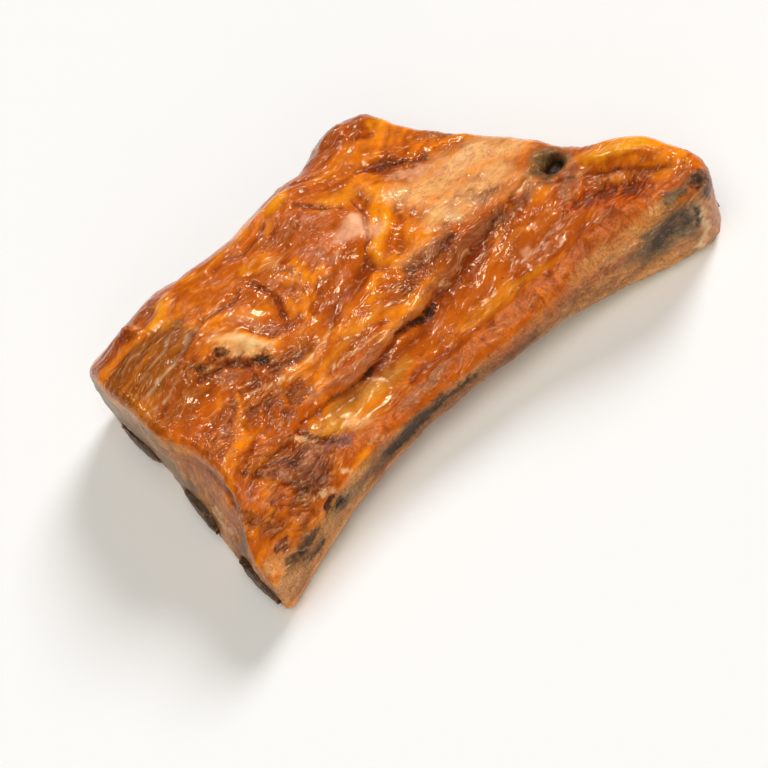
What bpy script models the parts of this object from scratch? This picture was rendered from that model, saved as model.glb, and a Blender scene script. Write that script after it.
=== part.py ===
"""A rack of three smoked ribs, lying on its bone side: a slab of meat with the three bones in it.

Metres, +Z up. +X runs along the bones, from the square-cut front end to the slanting back end, and +Y
runs across them, from the thin near side to the thick far side. The origin is on the table, under the
middle of the rack. The sizes below are in millimetres, and MM turns them into metres.
"""

import math

import bmesh
import bpy
import numpy as np
from mathutils import Matrix

MM = 0.001

# ---- Driving dimensions, in millimetres ----------------------------------------------------------------
LENGTH = 184.0  # along the bones, from the front end to the tip of the back end
WIDTH = 116.0  # across the bones

# The plan of the slab, as four smooth sides through a few points. Each corner ends two sides.
NEAR_FRONT = (-91.0, -50.5)
NEAR_BACK = (88.5, -61.5)
FAR_FRONT = (-82.5, 53.5)
FAR_BACK = (37.0, 59.0)
NEAR_SIDE = [NEAR_FRONT, (-68, -45.5), (-43, -42), (-18, -42), (8, -45), (38, -48.5), (62, -54), NEAR_BACK]
FAR_SIDE = [FAR_FRONT, (-67, 54.5), (-51, 56), (-41, 53), (-24, 50), (-2, 52), (10, 51), (24, 58), FAR_BACK]
FRONT_END = [NEAR_FRONT, (-91, -38), (-88.5, -15), (-86, 2), (-84, 15), (-84, 32), FAR_FRONT]
BACK_END = [
    NEAR_BACK, (91, -50), (88, -39), (82.5, -28), (76, -19), (71, -8), (65, 6), (58, 18), (49, 32), FAR_BACK,
]
CORNER_RADII = {"near_front": 3.0, "near_back": 11.0, "far_front": 9.0, "far_back": 11.0}

# Height of the meat above the table, on a net of places: each row runs from the front end to the back
# end, and the rows go from the near side to the far side.
CROWN = [
    [25, 25, 22, 22, 24, 29, 31],
    [30, 28, 24, 24, 25, 30, 34],
    [34, 33, 31, 31, 32, 31, 29],
    [37, 36, 36, 37, 35, 31, 27],
    [34, 36, 38, 39, 38, 33, 29],
    [31, 33, 34, 36, 37, 37, 34],
]
ARCH_RISE = 8.0  # how far the rack curves up off the table between its two ends
ARCH_START, ARCH_END = -82.0, 66.0  # beyond these the underside lies on the table
BETWEEN_BONES_DIP, DIP_REACH = 1.6, 5.0  # how far the underside sinks in between two bones

# The front end leans back between two of the bones, where the meat has shrunk.
FRONT_HOLLOW, FRONT_HOLLOW_AT, FRONT_HOLLOW_REACH = 10.0, -17.0, 19.0
FRONT_HOLLOW_DEPTH = 45.0  # how far into the slab the lean is felt

# How far the edges are rounded over, by side.
ROUND_NEAR, ROUND_FAR, ROUND_FRONT, ROUND_BACK = 5.0, 15.0, 5.0, 7.0
ROUND_UNDER = 3.5

# Three bones. Each is a flattened bar that follows the arch.
# Where each bone lies across the rack: at the front end, half-way and at the back end.
BONE_LINES = ((-38.0, -29.5, -43.5), (-5.0, -2.0, -6.0), (30.0, 32.0, 29.0))
BONE_WIDTH, BONE_HEIGHT = 18.5, 9.5
BONE_COVER = 1.2  # meat under a bone
BONE_SWELL = 0.12  # how much wider a bone is at its front end
BONE_STANDS_OUT = 1.2  # how far the sawn ends stand out of the meat, which has shrunk back
BONE_GAP = 0.35  # between bone and meat
CHANNEL_PAST = 4.0  # how far a bone's channel is cut past the bone's ends

# Folds of the top. The surface steps up on the left of each line and settles back away from it. Each has
# its line, the height of half the step, how wide the step is and how far its effect reaches.
FOLDS = {
    "main_crease": ([(-52, -22), (-30, -21), (-6, -21), (14, -18), (36, -16), (54, -12)], 2.0, 2.6, 11),
    "far_flap": ([(42, 22), (33, 25), (24, 33), (14, 38)], -1.8, 2.6, 8),
    "end_roll": ([(84, -44), (76, -36), (69, -29), (62, -24)], -1.8, 2.6, 9),
    "inner_seam": ([(-46, 18), (-38, 5), (-20, -3), (0, -2), (12, 8)], -1.2, 2.8, 9),
    "shoulder": ([(-66, -40), (-58, -22), (-52, -6)], -1.6, 3.0, 12),
}
# Rounded swellings and hollows: centre, half length, half width, turn in degrees, height.
MOUNDS = {
    "front_muscle": ((-62, 22), 24, 18, 10, 1.5),
    "middle_hump": ((4, 14), 20, 14, 25, 2.0),
    "far_back_hump": ((30, 44), 12, 9, -20, 2.2),
    "near_hollow": ((10, -35), 46, 7, 2, -2.4),
    "hook_hollow": ((63, -14), 9, 7, 30, -2.6),
    "end_hump": ((80, -33), 9, 6, -30, 1.5),
    "corner_shelf": ((-76, -47), 17, 9, 5, -10.0),
    "seam_hollow": ((14, 22), 5, 20, 20, -1.4),
}
# The pit that the hanging hook left.
HOOK_AT, HOOK_RADIUS, HOOK_DEPTH = (62.0, -10.0), 4.2, 4.5

FACES_ALONG, FACES_ACROSS, FACES_UP = 46, 29, 5
CROWDING = 0.55  # how much closer together the faces are at the edges
BONE_STATIONS, BONE_FACETS = 16, 12
SHARP_ANGLE = math.radians(50)

MEAT_COLOUR = (0.47, 0.13, 0.025)
BONE_COLOUR = (0.10, 0.09, 0.075)


def smooth_through(points, share):
    """Points on a smooth curve through the given ones, where share runs from 0 to 1 along it."""
    points = np.array(points, float)
    steps = np.linalg.norm(np.diff(points, axis=0), axis=1)
    knots = np.concatenate([[0.0], np.cumsum(steps)]) / steps.sum()
    slopes = np.gradient(points, knots, axis=0)
    i = np.clip(np.searchsorted(knots, share, side="right") - 1, 0, len(points) - 2)
    span = (knots[i + 1] - knots[i])[..., None]
    u = (share - knots[i])[..., None] / span
    end = u**2 * (3 - 2 * u)
    leave, arrive = u * (1 - u) ** 2 * span, -(u**2) * (1 - u) * span
    return (1 - end) * points[i] + end * points[i + 1] + leave * slopes[i] + arrive * slopes[i + 1]


def plan(along, across):
    """The place in plan of shares of the way along and across the slab, blended from its four sides."""
    s, t = along[..., None], across[..., None]
    sides = (1 - t) * smooth_through(NEAR_SIDE, along) + t * smooth_through(FAR_SIDE, along)
    ends = (1 - s) * smooth_through(FRONT_END, across) + s * smooth_through(BACK_END, across)
    near = (1 - s) * np.array(NEAR_FRONT) + s * np.array(NEAR_BACK)
    far = (1 - s) * np.array(FAR_FRONT) + s * np.array(FAR_BACK)
    return sides + ends - (1 - t) * near - t * far


def corners_rounded(along, across):
    """The same shares, with those near the four corners of the plan drawn in."""
    for name, radius in CORNER_RADII.items():
        at_far, at_back = name.startswith("far"), name.endswith("back")
        from_end = (1 - along if at_back else along) * LENGTH
        from_side = (1 - across if at_far else across) * WIDTH
        p, q = np.clip(1 - from_end / radius, 0, 1), np.clip(1 - from_side / radius, 0, 1)
        inwards = radius * p * (1 - np.sqrt(1 - q**2 / 2)) / LENGTH
        sideways = radius * q * (1 - np.sqrt(1 - p**2 / 2)) / WIDTH
        along = along - inwards if at_back else along + inwards
        across = across - sideways if at_far else across + sideways
    return along, across


def net_weights(share, count):
    """The four neighbours in a row of a net, and the weight of each, for a smooth curve through them."""
    place = np.clip(share, 0, 1) * (count - 1)
    i = np.clip(np.floor(place).astype(int), 0, count - 2)
    u = place - i
    cubic = (2 * u**2 - u**3 - u, 3 * u**3 - 5 * u**2 + 2, 4 * u**2 - 3 * u**3 + u, u**3 - u**2)
    return [(np.clip(i + k - 1, 0, count - 1), weight / 2) for k, weight in enumerate(cubic)]


def net_height(net, along, across):
    """A smooth height over a net of heights."""
    net = np.array(net, float)
    rows, columns = net_weights(across, net.shape[0]), net_weights(along, net.shape[1])
    return sum(net[r, c] * in_row * in_column for r, in_row in rows for c, in_column in columns)


def from_line(x, y, points):
    """Signed distance from a bent line, positive on its left, and the share of the way along it."""
    points = np.array(points, float)
    lengths = np.linalg.norm(np.diff(points, axis=0), axis=1)
    nearest, side, share = np.full(x.shape, np.inf), np.zeros(x.shape), np.zeros(x.shape)
    done = 0.0
    for start, end, length in zip(points[:-1], points[1:], lengths):
        ux, uy = (end - start) / length
        run = np.clip((x - start[0]) * ux + (y - start[1]) * uy, 0, length)
        gap = np.hypot(x - start[0] - run * ux, y - start[1] - run * uy)
        nearer = gap < nearest
        nearest = np.where(nearer, gap, nearest)
        side = np.where(nearer, np.sign(ux * (y - start[1]) - uy * (x - start[0])), side)
        share = np.where(nearer, (done + run) / lengths.sum(), share)
        done += length
    return nearest * side, share


def fold(x, y, points, height, width, reach):
    """A step that fades away from its line, and towards the line's two ends."""
    gap, share = from_line(x, y, points)
    fade = np.sin(np.pi * np.clip(share, 0.04, 0.96)) ** 0.6
    return height * np.tanh(gap / width) * np.exp(-((np.abs(gap) / reach) ** 1.5)) * fade


def mound(x, y, centre, half_length, half_width, turn, height):
    """A rounded swelling, or a hollow where the height is negative."""
    angle = math.radians(turn)
    dx, dy = x - centre[0], y - centre[1]
    along = (dx * math.cos(angle) + dy * math.sin(angle)) / half_length
    across = (dy * math.cos(angle) - dx * math.sin(angle)) / half_width
    return height * np.exp(-(along**2) - across**2)


def bone_line(x, line):
    """How far across the rack a bone lies, at places along it: a parabola through its three values."""
    share = np.asarray(x) / LENGTH + 0.5
    front, middle, back = line
    ends = front * (1 - share) * (1 - 2 * share) + back * share * (2 * share - 1)
    return ends + middle * 4 * share * (1 - share)


def under_height(x, y):
    """The underside: an arch that sinks in between the bones, flat where it lies on the table."""
    span = np.clip((x - ARCH_START) / (ARCH_END - ARCH_START) * 2 - 1, -1, 1)
    arch = ARCH_RISE * (1 - np.abs(span) ** 2.4)
    from_bone = np.min([np.abs(y - bone_line(x, line)) for line in BONE_LINES], axis=0)
    return arch + BETWEEN_BONES_DIP * np.clip((from_bone - BONE_WIDTH / 2) / DIP_REACH, 0, 1)


def top_height(x, y, along, across):
    """The top of the meat: its crown, folds, mounds and hook pit."""
    z = net_height(CROWN, along, across)
    for points, height, width, reach in FOLDS.values():
        z = z + fold(x, y, points, height, width, reach)
    for centre, half_length, half_width, turn, height in MOUNDS.values():
        z = z + mound(x, y, centre, half_length, half_width, turn, height)
    from_pit = np.hypot(x - HOOK_AT[0], y - HOOK_AT[1]) / HOOK_RADIUS
    return z - HOOK_DEPTH * np.exp(-(from_pit**4))


def rounding(gaps_and_radii):
    """How far a surface falls beside edges that are rounded over, given each edge's distance and radius."""
    over = [np.clip(1 - gap / radius, 0, 1) ** 2 for gap, radius in gaps_and_radii]
    deepest = sum(share * radius for share, (_, radius) in zip(over, gaps_and_radii))
    level = np.prod([1 - share for share in over], axis=0)
    return deepest / np.maximum(sum(over), 1e-9) * (1 - np.sqrt(level))


def front_lean(x, y, up):
    """How far the front end leans back at a share of the way up it."""
    hollow = FRONT_HOLLOW * np.exp(-(np.abs((y - FRONT_HOLLOW_AT) / FRONT_HOLLOW_REACH) ** 3))
    fade = np.clip(-(x + LENGTH / 2 - FRONT_HOLLOW_DEPTH) / FRONT_HOLLOW_DEPTH, 0, 1)
    return hollow * up**1.3 * fade**1.5


def slab_points(cube):
    """Carries the points of a cube's surface, each coordinate from -1 to 1, onto the slab of meat."""
    share = (cube + 1) / 2
    along, across = (share - CROWDING * np.sin(2 * np.pi * share) / (2 * np.pi)).T[:2]
    up = share[:, 2]
    edges = [
        (along * LENGTH, ROUND_FRONT),
        ((1 - along) * LENGTH, ROUND_BACK),
        (across * WIDTH, ROUND_NEAR),
        ((1 - across) * WIDTH, ROUND_FAR),
    ]
    x, y = plan(*corners_rounded(along, across)).T
    top = top_height(x, y, along, across) - rounding(edges)
    under = under_height(x, y) + rounding([(gap, ROUND_UNDER) for gap, _ in edges])
    return np.stack([x + front_lean(x, y, up), y, under + (top - under) * up], axis=1)


def grid_cube(bm, counts):
    """A cube from -1 to 1 whose faces are grids, with the given number of faces along each axis."""
    bmesh.ops.create_cube(bm, size=2.0)
    for axis, count in enumerate(counts):
        edges = [e for e in bm.edges if abs(e.verts[0].co[axis] - e.verts[1].co[axis]) > 1.0]
        bmesh.ops.subdivide_edges(bm, edges=edges, cuts=count - 1, use_grid_fill=True)


def make_meat():
    bm = bmesh.new()
    grid_cube(bm, (FACES_ALONG, FACES_ACROSS, FACES_UP))
    places = slab_points(np.array([v.co for v in bm.verts]))
    for vertex, place in zip(bm.verts, places):
        vertex.co = place * MM
    return add_object("meat", bm, plain_material("smoked_meat", MEAT_COLOUR, 0.35))


def end_lines(y):
    """How far along the front end and the back end of the slab are, at a place across it."""
    shares = np.linspace(0, 1, 60)
    front, back = smooth_through(FRONT_END, shares), smooth_through(BACK_END, shares)
    return np.interp(y, front[:, 1], front[:, 0]), np.interp(y, back[:, 1], back[:, 0])


def extruded_stations(bm, first, last):
    """A round bar along X with a ring of points at each whole number from first to last."""
    ring = bmesh.ops.create_circle(bm, segments=BONE_FACETS, radius=1.0, cap_ends=True)["verts"]
    bmesh.ops.rotate(bm, verts=ring, matrix=Matrix.Rotation(math.radians(90), 3, "Y"))
    bmesh.ops.translate(bm, verts=ring, vec=(first, 0, 0))
    end_cap = bm.faces[:]
    for station in range(first, last):
        grown = bmesh.ops.extrude_face_region(bm, geom=end_cap)["geom"]
        if station > first:
            bmesh.ops.delete(bm, geom=end_cap, context="FACES_ONLY")
        moved = [g for g in grown if isinstance(g, bmesh.types.BMVert)]
        bmesh.ops.translate(bm, verts=moved, vec=(1, 0, 0))
        end_cap = [g for g in grown if isinstance(g, bmesh.types.BMFace)]


def bone_point(bar_point, line, grow, past):
    """Carries a point of the bar onto a bone that lies along the given line."""
    station = round(bar_point.x)
    share = min(max(station / BONE_STATIONS, 0), 1)
    half_width = BONE_WIDTH / 2 * (1 + BONE_SWELL * (1 - share) ** 2)
    front = end_lines(line[0] + bar_point.y * BONE_WIDTH / 2)[0] - BONE_STANDS_OUT
    back = end_lines(line[2] + bar_point.y * BONE_WIDTH / 2)[1] + BONE_STANDS_OUT
    x = front + (back - front) * share
    middle = bone_line(x, line)
    arch = under_height(np.array([x]), np.array([middle]))[0]
    z = arch + BONE_COVER + BONE_HEIGHT / 2 + bar_point.z * (BONE_HEIGHT / 2 + grow)
    x += past * ((station > BONE_STATIONS) - (station < 0))
    return np.array([x, middle + bar_point.y * (half_width + grow), z])


def make_bone(name, line, grow=0.0, past=0.0):
    """One rib bone. For its channel, grow makes it thicker all round and past makes it longer."""
    bm = bmesh.new()
    extruded_stations(bm, *((-1, BONE_STATIONS + 1) if past else (0, BONE_STATIONS)))
    for vertex in bm.verts:
        vertex.co = bone_point(vertex.co.copy(), line, grow, past) * MM
    bmesh.ops.recalc_face_normals(bm, faces=bm.faces[:])
    return add_object(name, bm, plain_material("smoked_bone", BONE_COLOUR, 0.7))


def cut_channel(meat, cutter):
    cutter.hide_render = True
    cutter.display_type = "WIRE"
    cut = meat.modifiers.new(cutter.name, "BOOLEAN")
    cut.operation = "DIFFERENCE"
    cut.object = cutter


def add_object(name, bm, material):
    mesh = bpy.data.meshes.new(name)
    bm.to_mesh(mesh)
    bm.free()
    mesh.materials.append(material)
    mesh.shade_smooth()
    mesh.set_sharp_from_angle(angle=SHARP_ANGLE)
    made = bpy.data.objects.new(name, mesh)
    bpy.context.scene.collection.objects.link(made)
    return made


def plain_material(name, colour, roughness):
    found = bpy.data.materials.get(name)
    if found:
        return found
    material = bpy.data.materials.new(name)
    material.use_nodes = True
    shader = material.node_tree.nodes["Principled BSDF"]
    shader.inputs["Base Color"].default_value = (*colour, 1.0)
    shader.inputs["Roughness"].default_value = roughness
    return material


def main():
    for old in list(bpy.data.objects):
        bpy.data.objects.remove(old)
    meat = make_meat()
    for number, line in enumerate(BONE_LINES, start=1):
        make_bone(f"rib_bone_{number}", line)
        cut_channel(meat, make_bone(f"channel_{number}", line, grow=BONE_GAP, past=CHANNEL_PAST))


main()
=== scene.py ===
"""A rack of three smoked ribs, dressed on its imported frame: the meat with its glaze, fat and char, and the
three sawn bones in it. Sizes below are in millimetres and MM turns them into metres; +X runs along the
bones, +Y across them from the thin near side to the thick far side, and the table is at height 0.
"""

import itertools
import math
import bmesh
import bpy
import numpy as np
from mathutils import Matrix, Vector


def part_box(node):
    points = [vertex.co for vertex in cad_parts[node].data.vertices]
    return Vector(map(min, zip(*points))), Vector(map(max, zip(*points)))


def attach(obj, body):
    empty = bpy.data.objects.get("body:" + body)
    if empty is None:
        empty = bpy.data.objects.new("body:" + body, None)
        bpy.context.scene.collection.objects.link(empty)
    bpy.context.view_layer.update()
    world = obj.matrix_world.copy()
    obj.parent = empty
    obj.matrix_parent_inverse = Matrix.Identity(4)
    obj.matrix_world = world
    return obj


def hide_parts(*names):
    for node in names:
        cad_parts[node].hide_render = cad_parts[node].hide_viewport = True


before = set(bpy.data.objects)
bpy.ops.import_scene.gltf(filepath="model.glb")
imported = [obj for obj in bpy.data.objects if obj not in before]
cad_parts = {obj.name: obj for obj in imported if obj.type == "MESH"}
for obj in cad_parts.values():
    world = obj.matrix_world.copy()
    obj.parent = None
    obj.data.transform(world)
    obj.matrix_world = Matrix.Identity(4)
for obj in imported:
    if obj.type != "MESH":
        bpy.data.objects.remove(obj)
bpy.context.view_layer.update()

MM = 0.001

# ---- The form of the slab, as the solids have it ------------------------------------------------------
LENGTH = 184.0  # along the bones, from the front end to the tip of the back end
WIDTH = 116.0  # across the bones

# The plan of the slab, as four smooth sides through a few points. Each corner ends two sides.
NEAR_FRONT = (-91.0, -50.5)
NEAR_BACK = (88.5, -61.5)
FAR_FRONT = (-82.5, 53.5)
FAR_BACK = (37.0, 59.0)
NEAR_SIDE = [NEAR_FRONT, (-68, -45.5), (-43, -42), (-18, -42), (8, -45), (38, -48.5), (62, -54), NEAR_BACK]
FAR_SIDE = [FAR_FRONT, (-67, 54.5), (-51, 56), (-41, 53), (-24, 50), (-2, 52), (10, 51), (24, 58), FAR_BACK]
FRONT_END = [NEAR_FRONT, (-91, -38), (-88.5, -15), (-86, 2), (-84, 15), (-84, 32), FAR_FRONT]
BACK_END = [
    NEAR_BACK, (91, -50), (88, -39), (82.5, -28), (76, -19), (71, -8), (65, 6), (58, 18), (49, 32), FAR_BACK,
]
CORNER_RADII = {"near_front": 3.0, "near_back": 11.0, "far_front": 9.0, "far_back": 11.0}

# Height of the meat above the table, on a net of places: each row runs from the front end to the back
# end, and the rows go from the near side to the far side.
CROWN = [
    [25, 25, 22, 22, 24, 29, 31],
    [30, 28, 24, 24, 25, 30, 34],
    [34, 33, 31, 31, 32, 31, 29],
    [37, 36, 36, 37, 35, 31, 27],
    [34, 36, 38, 39, 38, 33, 29],
    [31, 33, 34, 36, 37, 37, 34],
]
ARCH_RISE = 8.0  # how far the rack curves up off the table between its two ends
ARCH_START, ARCH_END = -82.0, 66.0  # beyond these the underside lies on the table
BETWEEN_BONES_DIP, DIP_REACH = 1.6, 5.0  # how far the underside sinks in between two bones

# The front end leans back between two of the bones, where the meat has shrunk.
FRONT_HOLLOW, FRONT_HOLLOW_AT, FRONT_HOLLOW_REACH = 10.0, -17.0, 19.0
FRONT_HOLLOW_DEPTH = 45.0  # how far into the slab the lean is felt

# How far the edges are rounded over, by side.
ROUND_NEAR, ROUND_FAR, ROUND_FRONT, ROUND_BACK = 5.0, 15.0, 5.0, 7.0
ROUND_UNDER = 3.5

# Three bones. Each is a flattened bar that follows the arch.
# Where each bone lies across the rack: at the front end, half-way and at the back end.
BONE_LINES = ((-38.0, -29.5, -43.5), (-5.0, -2.0, -6.0), (30.0, 32.0, 29.0))
BONE_WIDTH, BONE_HEIGHT = 18.5, 9.5
BONE_COVER = 1.2  # meat under a bone
BONE_SWELL = 0.12  # how much wider a bone is at its front end
BONE_STANDS_OUT = 1.2  # how far the sawn ends stand out of the meat, which has shrunk back
BONE_GAP = 0.35  # between bone and meat
CHANNEL_PAST = 4.0  # how far a bone's channel is cut past the bone's ends

# Folds of the top. The surface steps up on the left of each line and settles back away from it. Each has
# its line, the height of half the step, how wide the step is and how far its effect reaches.
FOLDS = {
    "main_crease": ([(-52, -22), (-30, -21), (-6, -21), (14, -18), (36, -16), (54, -12)], 2.2, 2.0, 11),
    "far_flap": ([(42, 22), (33, 25), (24, 33), (14, 38)], -1.8, 2.6, 8),
    "end_roll": ([(84, -48), (75.5, -39.5), (69, -31.5), (62, -24.5)], -1.8, 2.2, 9),
    "inner_seam": ([(-46, 18), (-38, 5), (-20, -3), (0, -2), (12, 8)], -1.2, 2.8, 9),
    "shoulder": ([(-66, -40), (-58, -22), (-52, -6)], -1.6, 3.0, 12),
}
# Rounded swellings and hollows: centre, half length, half width, turn in degrees, height.
MOUNDS = {
    "front_muscle": ((-62, 22), 24, 18, 10, 1.5),
    "middle_hump": ((4, 14), 20, 14, 25, 2.0),
    "far_back_hump": ((30, 44), 12, 9, -20, 2.2),
    "near_hollow": ((10, -33), 48, 7, 0, -2.0),
    "hook_hollow": ((63, -14), 9, 7, 30, -2.6),
    "end_hump": ((80, -33), 9, 6, -30, 1.5),
    "corner_shelf": ((-76, -47), 17, 9, 5, -10.0),
    "seam_hollow": ((14, 22), 5, 20, 20, -1.4),
}
# The pit that the hanging hook left, nearer the near side than in the solid.
HOOK_AT, HOOK_RADIUS, HOOK_DEPTH = (62.4, -12.8), 4.0, 3.4

# ---- Finishes: colour, then wet, grain along, grain across, wrinkles, pores and veins -----------------
TONES = {
    "glaze": ((198, 88, 4), 0.95, 0.25, 0.1, 0.25, 0.0, 0.0),
    "deep": ((206, 97, 6), 1.0, 0.1, 0.0, 0.05, 0.0, 0.0),
    "amber": ((244, 132, 4), 0.9, 0.2, 0.0, 0.05, 0.0, 0.0),
    "gold": ((252, 152, 10), 0.85, 0.2, 0.0, 0.05, 0.0, 0.0),
    "honey": ((208, 130, 30), 0.8, 0.1, 0.0, 0.0, 0.0, 0.1),
    "butter": ((248, 180, 104), 0.5, 0.5, 0.0, 0.1, 0.0, 0.2),
    "fat": ((255, 186, 112), 1.0, 0.05, 0.05, 0.05, 0.0, 0.8),
    "lean": ((144, 72, 8), 0.9, 0.7, 0.0, 0.15, 0.0, 0.0),
    "rust": ((150, 60, 6), 1.0, 0.5, 0.1, 0.4, 0.0, 0.0),
    "sear": ((170, 86, 22), 1.0, 0.2, 0.1, 1.3, 0.0, 0.0),
    "ember": ((196, 80, 12), 1.0, 0.15, 0.2, 0.9, 0.0, 0.0),
    "slate": ((98, 74, 50), 0.7, 0.1, 0.1, 0.3, 0.9, 0.2),
    # painted highlight: a pale pinkish tone that stands for the reflection on flat glossy facets
    "blush": ((252, 180, 134), 0.5, 0.0, 0.0, 0.0, 0.0, 0.3),
    "mauve": ((134, 76, 54), 1.0, 0.1, 0.3, 1.6, 0.0, 0.0),
    "film": ((150, 92, 58), 1.0, 0.2, 0.2, 0.5, 0.4, 0.0),
    "coal": ((64, 54, 46), 0.5, 0.1, 0.1, 0.0, 0.9, 0.0),
    "soot": ((58, 36, 24), 0.7, 0.2, 0.2, 0.3, 0.8, 0.0),
    "bark": ((112, 60, 28), 0.8, 0.1, 0.2, 0.2, 0.8, 0.0),
    "crest": ((194, 90, 24), 0.8, 0.1, 0.9, 0.3, 0.6, 0.1),
    "olive": ((126, 94, 50), 0.5, 0.0, 0.5, 0.0, 0.3, 0.0),
    "tan": ((208, 138, 76), 0.5, 0.2, 0.2, 0.3, 0.7, 0.1),
    "husk": ((128, 76, 40), 0.5, 0.2, 0.2, 0.4, 0.8, 0.0),
    "muscle": ((190, 116, 66), 0.5, 0.0, 1.0, 0.0, 0.0, 0.0),
    "sinew": ((214, 176, 132), 0.5, 0.2, 0.0, 0.0, 0.1, 0.0),
    "membrane": ((216, 182, 140), 0.7, 0.3, 0.1, 0.1, 0.0, 0.2),
    "plum": ((138, 78, 68), 0.7, 0.5, 0.1, 0.1, 0.0, 0.0),
}
FINISHES = 6
# Columns of a look, one row a point: three of colour, the finishes, the lift and the covers.
WET, VEINS, LIFT, FIRST_COVER = 3, 2 + FINISHES, 3 + FINISHES, 4 + FINISHES

# Covers are laid over the tones as ragged flecks: a pinkish sheen, which is a painted reflection, strands of
# cream fat, and char.
COVERS = ["pink", "cream", "char"]
COVER_TONES = {"pink": (220, 142, 104), "cream": (255, 210, 152), "char": (38, 24, 16)}

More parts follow.
